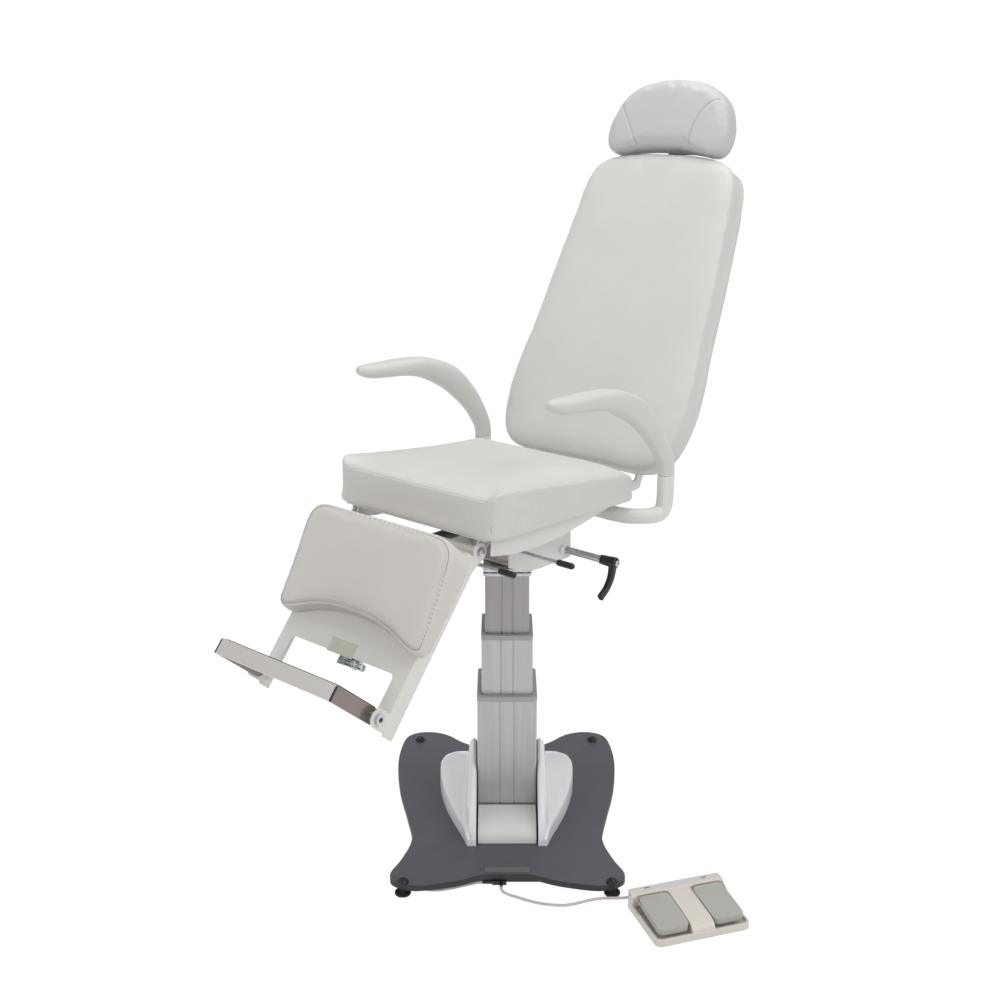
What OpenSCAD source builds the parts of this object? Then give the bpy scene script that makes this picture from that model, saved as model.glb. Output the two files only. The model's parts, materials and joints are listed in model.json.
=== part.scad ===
// Ear, nose and throat treatment chair: lifting column on a lobed floor plate, swivelling seat,
// reclining back with a sliding headrest, raising leg rest with a folding foot plate, swinging
// armrests and a two-pedal foot switch. Millimetres. The origin is on the floor under the column's
// axis, midway between the four feet. The plate's front looks along -Y, and +Z is up.

/* [Floor plate] */
// Distance between the feet, side to side
foot_pitch_x = 462; // [420:1:520]
// Distance between the feet, front to back
foot_pitch_y = 674; // [640:1:760]
// Thickness of the floor plate
plate_t = 14; // [10:1:18]
// Height of the levelling feet under the plate
foot_h = 13; // [12:1:20]
// Radius of a foot's rubber pad
foot_r = 18; // [16:1:24]
// Radius of a foot's threaded stud
stud_r = 5; // [4:0.5:6]
// Radius of the domed cap over a stud
foot_cap_r = 13; // [10:0.5:16]
// Height of the domed cap
foot_cap_h = 11; // [8:0.5:14]

/* [Lifting column] */
// Width of the outer tube
outer_w = 140; // [134:1:144]
// Depth of the outer tube
outer_d = 165; // [158:1:172]
// Width of the middle tube
mid_w = 120; // [118:1:122]
// Depth of the middle tube
mid_d = 140; // [138:1:144]
// Width of the inner tube
inner_w = 103; // [98:1:104]
// Depth of the inner tube
inner_d = 118; // [114:1:122]
// Wall of the three tubes
tube_wall = 5; // [4:0.5:6]
// Height of the outer tube's top above the floor
outer_top = 336; // [320:1:345]
// Height of the middle tube's top above the floor
mid_top = 484; // [478:1:500]
// Height of the inner tube's top above the floor
inner_top = 638; // [634:1:642]
// Height of the plastic collar on each tube
collar_h = 11; // [8:1:13]
// Travel of each moving tube
stage_travel = 130; // [110:1:132]
// Thickness of each of the two steel top plates
top_plate_t = 7; // [5:1:8]
// Gap between the two top plates
top_plate_gap = 3; // [2:0.5:4]
// How far the top plates stand past the inner tube
top_plate_lip = 4.5; // [3:0.5:6]

/* [Column covers] */
// Half the width of the two side covers together
cover_half_w = 168; // [160:1:180]
// Distance of a side cover's inner wall from the column's axis
cover_inner_x = 72; // [72:0.5:76]
// Reach of the side covers in front of the column's axis
cover_front = 190; // [184:1:198]
// Reach of the side covers behind the column's axis
cover_rear = 205; // [198:1:212]
// Height of a side cover's fin above the plate
fin_h = 176; // [150:1:190]
// Height of a side cover's low lobe above the plate
lobe_h = 56; // [46:1:66]
// Wall of the moulded covers
cover_wall = 3; // [2.5:0.5:4]
// Width of the rounded front and rear covers
end_cover_w = 136; // [128:1:140]
// Depth of the rounded front and rear covers
end_cover_d = 94; // [88:1:98]
// Height of the rounded front and rear covers
end_cover_h = 48; // [40:1:56]

/* [Seat] */
// Turn of the seat on the column, in degrees, as the chair stands here
seat_turn = 41; // [0:1:90]
// Width of the seat cushion
seat_w = 476; // [450:1:490]
// Length of the seat cushion
seat_len = 500; // [480:1:502]
// Distance from the swivel axis to the cushion's front
seat_front = 318; // [316:1:320]
// Height of the cushion's lower front edge above the floor
seat_front_z = 828; // [826:1:834]
// Backward tilt of the seat, in degrees
seat_tilt = 2.3; // [1:0.1:3]
// Thickness of the seat cushion
seat_t = 102; // [90:1:112]
// Sheet thickness of the seat tray
tray_t = 3; // [2.5:0.5:4]
// Half the width of the seat tray
tray_half_w = 210; // [206:1:216]
// Depth of the tray's curved side walls
tray_d = 50; // [44:1:52]
// Half the width of the carrier channel under the tray
carrier_half_w = 100; // [90:1:110]
// Sheet thickness of the carrier channel
carrier_t = 4; // [3:0.5:5]
// Radius of the swivel spindle
spindle_r = 17; // [14:0.5:19]

/* [Backrest] */
// Distance from the swivel axis back to the recline hinge
back_hinge_y = 205; // [204:1:210]
// Height of the recline hinge above the floor
back_hinge_z = 790; // [788:1:794]
// Lean of the backrest from vertical, in degrees
back_lean = 27.4; // [27:0.1:28]
// Width of the back cushion at its widest
back_w = 554; // [530:1:560]
// Length of the back cushion
back_len = 808; // [780:1:812]
// Thickness of the back cushion at its edge
back_t = 65; // [55:1:66]
// Thickness of the moulded board behind the cushion
board_t = 10; // [8:1:12]
// Thickness of the back frame's side arms
arm_plate_t = 6; // [5:0.5:8]

/* [Headrest] */
// Width of the headrest
head_w = 360; // [320:1:370]
// Height of the headrest
head_h = 207; // [190:1:215]
// Thickness of the headrest cushion
head_t = 62; // [56:1:64]
// Width of the headrest's flat steel stem
stem_w = 40; // [30:1:46]
// Thickness of the stem
stem_t = 8; // [6:0.5:9]

/* [Armrests] */
// Distance from the seat's middle to each armrest post
post_x = 283; // [280:1:296]
// Distance from the swivel axis back to the armrest posts
post_y = 234; // [232:1:238]
// Height of the joint between bracket and armrest
post_joint_z = 867; // [850:1:880]
// Height of the armrest's top above the floor
armrest_top_z = 1112; // [1090:1:1130]
// Reach of the armrest's tip in front of the swivel axis
armrest_tip = 198; // [180:1:215]
// Width of the armrest pad
armrest_w = 60; // [50:1:66]
// Radius of the swivel pin in each armrest post
arm_pin_r = 9; // [8:0.5:11]

/* [Leg rest] */
// Distance from the swivel axis forward to the leg rest hinge
leg_hinge_front = 306; // [304:1:307]
// Height of the leg rest hinge above the floor
leg_hinge_z = 797; // [795:1:798]
// Forward lean of the leg rest from vertical, in degrees
leg_lean = 40; // [38:0.5:42]
// Half the width of the leg frame
leg_half_w = 190; // [188:1:196]
// Length of the leg frame from the hinge
leg_len = 419; // [410:1:430]
// Distance of the leg frame's front face from the hinge plane
leg_face = 36; // [35:0.5:37]
// Sheet thickness of the leg frame
leg_t = 3; // [2.5:0.5:4]
// Distance from the hinge to the top of the frame's window
window_top = 300; // [290:1:310]
// Half the width of the window
window_half_w = 155; // [140:1:160]
// Half the width of the calf pad
calf_half_w = 222; // [205:1:226]
// Distance from the hinge to the calf pad's bottom corners
calf_bottom = 256; // [248:1:257]
// Thickness of the calf pad at its top
calf_top_t = 84; // [70:1:88]
// Thickness of the calf pad at its bottom
calf_bottom_t = 29; // [24:1:30]

/* [Foot plate] */
// Distance from the leg rest hinge to the foot plate's pivot
foot_pivot_u = 394; // [392:1:398]
// Distance of the pivot in front of the hinge plane
foot_pivot_n = 60; // [60:1:62]
// Half the width of the foot plate
foot_half_w = 174; // [168:1:176]
// Reach of the foot plate's lip in front of the pivot
foot_reach = 132; // [120:1:134]
// Depth of the folded edge of the foot plate
foot_flange = 34; // [28:1:36]
// Sheet thickness of the foot plate
foot_sheet = 2.5; // [2:0.5:3]
// Thickness of the rubber tread
tread_t = 2; // [1.5:0.5:3]

/* [Foot switch] */
// Width of the foot switch
switch_w = 217; // [210:1:230]
// Depth of the foot switch
switch_d = 163; // [158:1:175]
// Height of the foot switch
switch_h = 40; // [36:1:46]
// Width of one pedal
pedal_w = 70; // [60:1:72]
// Length of one pedal
pedal_len = 114; // [100:1:116]
// Thickness of one pedal
pedal_t = 14; // [12:0.5:16]
// Turn of the foot switch on the floor, in degrees
switch_turn = 18; // [0:1:30]

/* [Cords] */
// Diameter of the mains lead
mains_d = 7.5; // [7:0.1:8]
// Diameter of the foot switch's cord
switch_cord_d = 6; // [5:0.1:6.5]
// Middle radius of the stored coil
coil_r = 42; // [40:0.5:45]
// Turns in the coil's lower layer
coil_turns = 3.75; // [3.75:1:4.75]

/* [Hidden] */
$fn = 48;

// Clearances shared by many pieces
run_gap = 0.08;
seat_gap = 0.3;
glide_gap = 0.3;
cut = 1;
hull_facets = 24;
hex_sides = 6;
outline_steps = 2;

// Floor plate
plate_top = foot_h + plate_t;
foot_pad_h = 5;
foot_neck_r = 9;
cap_flange_h = 3;
stud_rise = 6;
stud_play = 0.3;
plate_steps = 4;
// Right half of the plate's outline from the front notch to the rear notch, as shares of half
// the foot spacings
plate_shares = [[0, -0.908], [0.221, -0.908], [0.506, -0.988], [0.879, -1.039], [1.087, -0.985],
    [1.130, -0.89], [1.039, -0.721], [0.961, -0.475], [1.03, -0.184], [1.152, 0.214],
    [1.216, 0.623], [1.19, 0.955], [1.108, 1.095], [0.918, 1.142], [0.693, 1.092],
    [0.433, 0.926], [0, 0.831]];

// Column
tube_corner = 8;
groove_w = 3;
groove_d = 1.6;
groove_span_share = 0.24;
collar_lip = 0.8;
collar_skirt = 60;
stage_room = 4;
nut_plate_t = 6;
nut_plate_z = plate_top + 205;
motor_w = 92;
motor_d = 112;
motor_h = nut_plate_z - stage_travel - plate_top - stage_room;
screw_r = 8;
screw_tube_r = 14;
push_tube_r = 19;
screw_top = 360;
mid_bottom = plate_top + stage_travel + 2 * stage_room;
inner_bottom = nut_plate_z + nut_plate_t + stage_travel + stage_room;
top_plate_z = inner_top;
swivel_z = top_plate_z + top_plate_t * 2 + top_plate_gap;
spacer_r = 8;
thrust_t = 2.6;
thrust_r = 42;
thrust_gap = 0.15;
carrier_gap = 0.1;
carrier_z = swivel_z + thrust_t + carrier_gap;

// Column covers: places along a side cover from front to rear, as shares of its length, with the
// outer edge as shares of the half width, the fin and the lobe as shares of their heights
cover_places = [0, 0.03, 0.075, 0.13, 0.2, 0.28, 0.37, 0.48, 0.6, 0.72, 0.82, 0.9, 0.955, 1];
cover_edge_shares = [0.55, 0.575, 0.605, 0.65, 0.71, 0.775, 0.845, 0.91, 0.965, 0.995, 1, 0.96,
    0.87, 0.6];
fin_shares = [0.12, 0.26, 0.415, 0.53, 0.68, 0.8, 0.91, 1, 0.86, 0.68, 0.52, 0.375, 0.25, 0.12];
lobe_shares = [0.3, 0.5, 0.58, 0.65, 0.72, 0.79, 0.86, 0.93, 0.98, 1, 0.98, 0.92, 0.8, 0.3];
// The fin's outline across its thickness: distance from the inner wall, and the most that may be
// as a share of the width there
fin_profile = [[0, 0], [0, 0], [0, 0], [3, 0.1], [8, 0.25], [13, 0.4], [17, 0.55], [19, 0.65],
    [22, 0.72], [28, 0.8]];
lobe_run_shares = [0.3, 0.58, 0.8, 0.93, 0.985, 1];
// Heights across a side cover: up the fin, down to the lobe, and over the lobe to its rim
fin_height_shares = [0, 0.6, 0.94, 0.985, 1, 0.97];
fin_fall_shares = [0.84, 0.55, 0.25, 0.08];
lobe_height_shares = [1, 0.98, 0.93, 0.85, 0.74];
end_cover_gap = 4;
end_cover_steps = 14;
end_cover_power = 2.4;

// Carrier and swivel
hub_r = 28;
hub_h = 39;
spindle_rise = 4;
spindle_flange_in = 2;
spindle_flange_h = 3;
spindle_nut_lip = 3;
spindle_nut_h = 10;
carrier_front = 108;
carrier_rear = 114;
carrier_nose_z = 30;
carrier_rise = [5, 15];
carrier_slope_run = 70;
bolt_r = 5;
bolt_head_r = 9;
bolt_head_h = 6;
washer_r = 11;
washer_t = 1.5;
bolt_grip = 8;
cross_rod_r = 6;
cross_rod_y = -46;
strut_z = 758;
clamp_rod_r = 8.5;
clamp_y = 100;
clamp_z = 677;
clamp_rod_end = 203;
clamp_stud_r = 5;
clamp_stud_end = 226;
clamp_bolt_out = 22;
clamp_bolt_up = 8;
brake_w = 54;
brake_t = 16;
handle_hub_r = 13;
handle_start = 205;
handle_end = 244;
handle_arm_x = 226;
handle_arm_t = 14;
handle_root_r = 11;
handle_bend_y = -23.4;
handle_bend_z = -36;
handle_reach_y = -52;
handle_reach_z = -72;
handle_tip_r = 8;
button_r = 7;
button_h = 5;

// Tray
tray_front = 6;
tray_rear = 12;
tray_shares = [[0.05, 0], [0.05, -0.76], [0.19, -0.96], [0.36, -1], [0.54, -0.83], [0.74, -0.45],
    [0.85, -0.24], [0.85, 0]];
ear_x = 178;
ear_t = 6;
ear_r = 14;
ear_foot = 46;
back_ear_x = 148;
arm_pad_len = 60;
arm_pad_w = 40;
seat_corner = 40;
seat_dip = 30;
seat_rear_drop = 52;
seat_dip_power = 2.4;
seat_dip_share = 0.3;
seat_drop_share = 0.72;
seat_drop_power = 1.6;
seat_corner_steps = 6;
seat_side_steps = 5;
lever_pivot_x = 150;
lever_start = 118;
lever_r = 4.3;
lever_boss_r = 8;
lever_boss_w = 10;
lever_pin_r = 3;
lever_hang = 9;
lever_plate_gap = 2;
lever_plate_t = 3;
lever_pin_head = 1;
grip_r = 7;
grip_collar_in = 1;
grip_collar_len = 2;
leg_lever_y = -291;
leg_lever_z = 762;
leg_lever_end = 252;
leg_grip_end = 274;
back_lever_y = -160;
back_lever_z = 757;
back_lever_end = 303;
back_grip_end = 323;
grip_len = 42;

// Locking struts: each has a slotted head that rides on a crank pin
crank_r = 40;
crank_pin_r = 5;
crank_gap = 16;
crank_t = 4;
crank_plate_r = 8;
strut_x = 25;
strut_r = 13;
strut_rod_r = 4.5;
strut_eye_w = 14;
strut_eye_r = 12;
strut_root = 2;
slot_play = 1.4;
slot_run = 16;
head_thick = 12;
head_len = 30;
head_tall = 38;
back_mid_recline = 25;
leg_mid_raise = 7.5;
back_crank_turn = back_lean + back_mid_recline;
leg_crank_turn = leg_lean + leg_mid_raise;
back_pin_y = back_hinge_y + crank_r * sin(back_mid_recline);
leg_pin_y = -leg_hinge_front + crank_r * sin(leg_mid_raise);
leg_cyl_front = -240;
back_cyl_rear = 140;
strut_bore_share = 0.62;
strut_rod_share = 0.55;

// Backrest, in its own frame from the recline hinge: Y runs to the rear and Z up the back
back_front = 8;
back_bottom = 71;
back_shares = [[0, 0], [0.35, 0], [0.6, 0], [0.78, 0.014], [0.89, 0.047], [0.95, 0.09],
    [0.985, 0.15], [1, 0.212], [0.985, 0.31], [0.953, 0.4], [0.913, 0.6], [0.852, 0.82],
    [0.823, 0.885], [0.765, 0.937], [0.668, 0.970], [0.505, 0.989], [0.25, 0.999], [0, 1]];
back_centre_share = 0.47;
board_inset_share = 0.96;
board_back = back_front + back_t + seat_gap + board_t;
back_tube_r = 12;
back_arm_x = 140;
back_arm_r = 12;
back_rail_r = 10;
back_arm_w = board_back + seat_gap + back_arm_r;
back_arm_low = 60;
back_arm_high = 330;
back_rail_low = 130;
spine_w = 60;
spine_t = 6;
spine_top = 850;
guide_w = 84;
guide_d = 24;
guide_low = 720;
guide_high = 840;
guide_corner = 4;

// Headrest, in its own frame from the middle of its lower front edge
head_front = -25;
head_low = 878;
head_tilt = 7.3;
head_shares = [[0, 0.07], [0.3, 0.065], [0.58, 0.04], [0.8, 0.005], [0.94, 0.015], [1, 0.12],
    [1, 0.27], [0.97, 0.45], [0.85, 0.7], [0.62, 0.885], [0.32, 0.975], [0, 1]];
head_centre_share = 0.42;
head_crown_share = 0.96;
head_plate_w = 220;
head_plate_h = 120;
head_plate_low = 40;
head_plate_t = 6;
head_plate_corner = 20;
stem_low = 590;
stem_bend = 872;
stem_w_place = board_back + seat_gap + spine_t + seat_gap + guide_d / 2;
stem_upper = [46, 919];
head_lever_x = 8;
head_web_w = 36;
head_web_low = 32;
head_block_end = 24;
head_block_t = 10;
head_lever_end = 92;
head_lever_r = 3;
head_tip_r = 5;
head_tip_len = 16;
head_lever_low = 24;
head_lever_back = 72;

// Armrest path in the seat's side view from the post to the tip: place as shares of the reach
// from post to tip and of the rise from joint to top, thickness and width as shares of the pad's
armrest_shares = [[0, -0.012, 0.73, 0.57], [0.004, 0.09, 0.74, 0.57], [0.03, 0.2, 0.78, 0.58],
    [0.1, 0.385, 0.88, 0.62], [0.195, 0.56, 1.0, 0.7], [0.3, 0.705, 1.04, 0.79],
    [0.425, 0.81, 0.94, 0.9], [0.54, 0.875, 0.82, 0.97], [0.68, 0.91, 0.7, 1],
    [0.82, 0.922, 0.63, 0.97], [0.925, 0.935, 0.55, 0.82], [0.98, 0.955, 0.38, 0.56],
    [1, 0.967, 0.12, 0.2]];
armrest_thick = 60;
armrest_steps = 2;
arm_joint_gap = 0.6;
armrest_sides = 16;
armrest_power = 2.4;
arm_pin_h = 42;
// Bracket path from the post's joint down, forward and in under the seat, as shares of the
// post's distance from the seat's middle, and drops and forward reaches in lengths
bracket_drop = 92;
bracket_reach = 90;
bracket_path_shares = [[1, 0, 0], [1, 0, 0.42], [1, 0.02, 0.68], [0.998, 0.07, 0.85],
    [0.99, 0.18, 0.965], [0.968, 0.38, 1], [0.92, 0.63, 1], [0.84, 0.84, 1], [0.74, 0.95, 0.99],
    [0.6, 1, 0.97], [0.42, 1, 0.96]];
bracket_half_w = 17;
bracket_half_d = 22;
bracket_sides = 16;
bracket_straight = 2;
bracket_ease = 4;

// Leg rest, in its own frame from its hinge: -Y points to the front and -Z down the frame
leg_tube_r = 10;
leg_sheet_top = 14;
leg_sheet_step = 4;
leg_gusset_front = 28;
leg_gusset_low = 42;
leg_tube_in = 2;
leg_back = 5;
leg_ear_r = 20;
lug_r = 20;
rib_x = 100;
leg_rib_t = 3;
leg_rib_in = 2;
leg_rib_low = 70;
window_corner = 12;
calf_top = 16;
calf_arch = 34;
calf_corner_share = 0.9;
calf_shares = [[0, 1], [0.5, 1], [0.8, 1], [0.93, 0.975], [0.99, 0.9], [1, 0.75], [1, 0.4],
    [1, 0.12], [0.975, 0.035], [0.9, 0], [0.8, 0.008], [0.66, 0.05], [0.5, 0.098],
    [0.28, 0.137], [0, 0.15]];
calf_centre_share = 0.55;
calf_taper_shares = [0.62, 0.38];
calf_rows = [[0.975, 0], [0.99, 0.05], [0.996, 0.2], [0.992, 0.5], [0.996, 0.8], [1, 0.9],
    [0.99, 0.965], [0.97, 1], [0.93, 1.01], [0.7, 1.03], [0.4, 1.05], [0.2, 1.055]];
catch_x = 20;
catch_w = 34;
catch_r = 6;
foot_bolt_r = 6;
foot_bolt_head_r = 11;
foot_bolt_head_h = 7;
foot_bolt_in = 14;
foot_rear_in = 5;
tread_corner = 6;
tread_side = 3;
tread_shift = 4;

// Foot switch, in its own frame on the floor
switch_x = 386;
switch_y = -424;
switch_floor_t = 8;
switch_rim_t = 5;
switch_rim_h = 15;
switch_corner = 14;
switch_inner_corner = 10;
switch_bar_d = 34;
bar_corner = 8;
bar_rise = 9;
bridge_w = 52;
bridge_low = 2;
// Side view of the bridge's nose, from the switch's front edge
bridge_nose = [[2, 0], [2, 14], [5, 22], [12, 28], [24, 32]];
pedal_gap = 2.4;
pedal_tilt = 4;
pedal_front_z = 16;
pedal_corner = 13;
pedal_rod_r = 2.5;
pedal_lug_w = 14;
pedal_lug_r = 6;
pedal_drop = 4;
pedal_rod_in = 1;
pedal_rod_y = switch_d / 2 - switch_bar_d - bar_corner;
pedal_rod_z = switch_h - pedal_t - pedal_drop;
pedal_x = bridge_w / 2 + pedal_gap + pedal_w / 2;

// Socket panel and cords. A route's points are chosen by hand.
panel_w = 140;
panel_d = 14;
panel_y = -298;
panel_h = 10;
gland_w = 32;
gland_d = 11;
gland_x = -18;
gland_drop = 1;
mains_route = [[-56, -303.5, 7], [-66, -304, 6.6], [-80, -308, 6], [-100, -314, 5], [-120, -321, 4.2],
    [-140, -326, 3.8], [-160, -329, 3.8], [-178, -327, 3.8], [-194, -318, 3.8], [-206, -302, 3.8],
    [-211, -280, 3.8], [-210, -250, 3.8], [-205, -215, 3.8], [-199, -175, 3.8], [-193, -130, 3.8],
    [-188, -85, 3.8], [-184, -40, 3.8], [-180, 5, 3.8], [-176, 50, 3.8], [-170, 95, 3.8],
    [-160, 140, 3.8], [-145, 180, 3.8], [-124, 214, 3.8], [-100, 242, 3.8], [-80, 268, 3.8],
    [-68, 296, 3.8], [-62, 325, 3.8], [-59, 352, 3.8], [-58, 380, 3.8], [-58, 406, 3.8],
    [-58, 432, 3.8]];
switch_route = [[-14, -323, 6.5], [-14, -326, 6.5], [-14, -329, 6.3], [-12.5, -333, 5.2],
    [-8, -339, 3.9], [3, -347, 3.05], [20, -356, 3],
    [38, -366, 3], [56, -374, 3], [72, -380, 3], [90, -384, 3], [108, -386.5, 3],
    [126, -386.5, 3], [144, -382, 3], [162, -375, 3], [178, -368.5, 3], [194, -363.5, 3],
    [212, -360.5, 3], [231, -359.8, 3], [250, -359.4, 3], [266, -357.5, 4], [279, -355.5, 6],
    [288, -357, 8], [291.8, -361.8, 9], [294.1, -367.9, 9]];
cord_steps = 2;
cord_sides = 8;
coil_pitch = mains_d + 0.7;
coil_tuck = 1.6;
coil_climb_turns = 0.5;
coil_lift = 0.05;
coil_tail_rise = 0.6;
coil_probe_step = 3;
coil_facets = 24;
coil_sides = 6;
coil_outer_r = coil_r + coil_pitch * coil_turns / 2;
coil_start = [-58, 432.2];
coil_centre = coil_start + [coil_outer_r, mains_d];
coil_top_turns = coil_turns - coil_climb_turns;
plug_r = 19;
plug_len = 34;
plug_neck_r = 6;
plug_neck_len = 18;
plug_pin_r = 2.4;
plug_pin_len = 19;
plug_pin_span = 19;
plug_taper = 5;
plug_lift = 0.2;
plug_away = 40;
relief_len = 22;
relief_r = 4.5;
relief_lip = 0.6;
switch_relief_r = 4.5;
switch_relief_len = 14;

// Curves through points, and skins over rings of points

function curve_at(a, b, c, d, t) = 0.5 * (2 * b + (c - a) * t + (2 * a - 5 * b + 4 * c - d) * t * t
    + (3 * b - a - 3 * c + d) * t * t * t);

function closed_curve(p, steps) = let(n = len(p))
    [for (i = [0:n - 1], k = [0:steps - 1])
        curve_at(p[(i + n - 1) % n], p[i], p[(i + 1) % n], p[(i + 2) % n], k / steps)];

function open_curve(p, steps) = let(n = len(p))
    concat([for (i = [0:n - 2], k = [0:steps - 1])
        curve_at(p[max(i - 1, 0)], p[i], p[i + 1], p[min(i + 2, n - 1)], k / steps)], [p[n - 1]]);

// A half outline from middle to middle, joined to its mirror image
function both_halves(half) = let(n = len(half))
    concat(half, [for (i = [n - 2:-1:1]) [-half[i][0], half[i][1]]]);

function scaled(shares, a, b, lift = 0) = [for (s = shares) [s[0] * a, s[1] * b + lift]];

function unit(v) = v / norm(v);

function tangent(p, i) = unit(p[min(i + 1, len(p) - 1)] - p[max(i - 1, 0)]);

// Side directions carried along a path without twist
function carried(p, side, i = 0) = let(t = tangent(p, i), s = unit(side - (side * t) * t))
    i == len(p) - 1 ? [s] : concat([s], carried(p, s, i + 1));

// One ring of a swept tube: half sizes a and b, with corners squared by the power
function ring_at(p, i, side, a, b, sides, power) = let(t = tangent(p, i), up = cross(t, side))
    [for (k = [0:sides - 1]) let(c = cos(360 * k / sides), s = sin(360 * k / sides))
        p[i] + side * (a * sign(c) * pow(abs(c), 2 / power))
            + up * (b * sign(s) * pow(abs(s), 2 / power))];

function swept(p, side, a, b, sides, power = 2) = let(dirs = carried(p, side))
    [for (i = [0:len(p) - 1]) ring_at(p, i, dirs[i], a[i], b[i], sides, power)];

function even(value, count) = [for (i = [1:count]) value];

function middle(ring) = [for (axis = [0:2]) [for (p = ring) p[axis]] * even(1, len(ring)) / len(ring)];

// Closed skin over a stack of rings, with a fan on each end ring
module skin(rings) {
    n = len(rings[0]);
    m = len(rings);
    first = n * m;
    walls = [for (j = [0:m - 2], i = [0:n - 1]) let(a = j * n + i, b = j * n + (i + 1) % n)
        each [[a, a + n, b], [b, a + n, b + n]]];
    low = [for (i = [0:n - 1]) [first, i, (i + 1) % n]];
    high = [for (i = [0:n - 1]) [first + 1, (m - 1) * n + (i + 1) % n, (m - 1) * n + i]];
    polyhedron(concat([for (ring = rings) each ring], [middle(rings[0]), middle(rings[m - 1])]),
        concat(walls, low, high));
}

// Cushion over an outline: each row gives how far the outline is drawn in and how high it lies,
// and top(x, y) is the height of the upper face
module cushion(outline, centre, rows, top)
    skin([for (row = rows) [for (p = outline) let(q = centre + (p - centre) * row[0])
        [q[0], q[1], row[1] * top(q[0], q[1])]]]);

// Rows of a cushion with a rounded lower edge, drawn-in sides and a crown
cushion_rows = [[0.962, 0], [0.985, 0.05], [0.991, 0.18], [0.994, 0.4], [0.998, 0.62], [1, 0.78],
    [0.993, 0.89], [0.975, 0.96], [0.945, 0.995], [0.82, 1.015], [0.55, 1.035], [0.25, 1.05]];

// Small shapes

module rounded_2d(w, d, r) {
    square([w - 2 * r, d], center = true);
    square([w, d - 2 * r], center = true);
    for (x = [-1, 1], y = [-1, 1]) translate([x * (w / 2 - r), y * (d / 2 - r)]) circle(r);
}

module rounded_block(w, d, h, r) linear_extrude(h) rounded_2d(w, d, r);

// A flat bar with round ends between two points
module link_2d(ends, r) {
    run = ends[1] - ends[0];
    for (p = ends) translate(p) circle(r);
    translate(ends[0]) rotate(atan2(run[1], run[0])) translate([0, -r]) square([norm(run), 2 * r]);
}

// One side of a bar bent at its middle point, at distance r from its centre line
function bent_side(p, r) = let(n = [for (i = [0, 1]) let(t = unit(p[i + 1] - p[i])) [-t[1], t[0]]])
    [p[0] + n[0] * r, p[1] + (n[0] + n[1]) * r / (1 + n[0] * n[1]), p[2] + n[1] * r];

// A flat bar with round ends and one bend
module bent_link_2d(p, r) {
    low = bent_side(p, -r);
    polygon(concat(bent_side(p, r), [low[2], low[1], low[0]]));
    translate(p[0]) circle(r);
    translate(p[2]) circle(r);
}

// A side profile drawn in Y and Z, as a plate from x over thickness t
module plate_x(x, t) translate([x, 0, 0]) rotate([90, 0, 90]) linear_extrude(t) children();

module rod_x(r, x0, x1) translate([x0, 0, 0]) rotate([0, 90, 0]) cylinder(r = r, h = x1 - x0);

module rod_y(r, y0, y1) translate([0, y1, 0]) rotate([90, 0, 0]) cylinder(r = r, h = y1 - y0);

module each_side() for (s = [0, 1]) mirror([s, 0, 0]) children();

module at_feet() for (x = [-1, 1], y = [-1, 1])
    translate([x * foot_pitch_x / 2, y * foot_pitch_y / 2, 0]) children();

// Frames of the moving groups

module seat_place() rotate([0, 0, -seat_turn]) children();

module seat_plane() seat_place() translate([0, -seat_front, seat_front_z]) rotate([-seat_tilt, 0, 0])
    children();

module back_place() seat_place() translate([0, back_hinge_y, back_hinge_z])
    rotate([-back_lean, 0, 0]) children();

module head_place() back_place() translate([0, head_front, head_low]) rotate([head_tilt, 0, 0])
    children();

module leg_place() seat_place() translate([0, -leg_hinge_front, leg_hinge_z])
    rotate([-leg_lean, 0, 0]) children();

module switch_place() translate([switch_x, switch_y, 0]) rotate([0, 0, switch_turn]) children();

// Height of the tray's underside over the floor, at a place along the seat
function tray_under(y) = seat_front_z - (y + seat_front) * tan(seat_tilt) - tray_t / cos(seat_tilt);

// Floor plate, feet and covers

module base_plate() color([0.35, 0.35, 0.38]) difference() {
    translate([0, 0, foot_h]) linear_extrude(plate_t)
        polygon(closed_curve(both_halves(scaled(plate_shares, foot_pitch_x / 2, foot_pitch_y / 2)),
            plate_steps));
    at_feet() translate([0, 0, foot_h - cut]) cylinder(r = stud_r + stud_play, h = plate_t + 2 * cut);
}

module levelling_feet() color([0.12, 0.12, 0.13]) at_feet() {
    cylinder(r = foot_r, h = foot_pad_h);
    cylinder(r = foot_neck_r, h = foot_h);
    cylinder(r = stud_r, h = plate_top + stud_rise);
}

module foot_caps() color([0.1, 0.1, 0.11]) at_feet() translate([0, 0, plate_top]) difference() {
    rotate_extrude() union() {
        square([foot_cap_r, cap_flange_h]);
        intersection() {
            translate([0, cap_flange_h - cut]) square([foot_cap_r, foot_cap_h - cap_flange_h + cut]);
            translate([0, foot_cap_h - foot_cap_r]) circle(foot_cap_r);
        }
    }
    translate([0, 0, -cut]) cylinder(r = stud_r + run_gap, h = stud_rise + 2 * cut);
}

// One point on a side cover: station j along it, point k across it, with the skin drawn in by w
function cover_point(j, k, w) = let(
    y = -cover_front + w + (cover_front + cover_rear - 2 * w) * cover_places[j],
    inner = cover_inner_x + w,
    run = cover_half_w * cover_edge_shares[j] - w - inner,
    fin = fin_h * fin_shares[j] - w,
    lobe = lobe_h * lobe_shares[j] - w,
    fin_count = len(fin_profile),
    fin_end = min(fin_profile[fin_count - 1][0], fin_profile[fin_count - 1][1] * run),
    heights = concat([for (s = fin_height_shares) fin * s],
        [for (s = fin_fall_shares) lobe + (fin - lobe) * s], [for (s = lobe_height_shares) lobe * s], [0]),
    x = k < fin_count ? min(fin_profile[k][0], fin_profile[k][1] * run)
        : fin_end + (run - fin_end) * lobe_run_shares[k - fin_count])
    [inner + x, y, plate_top + heights[k]];

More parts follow.
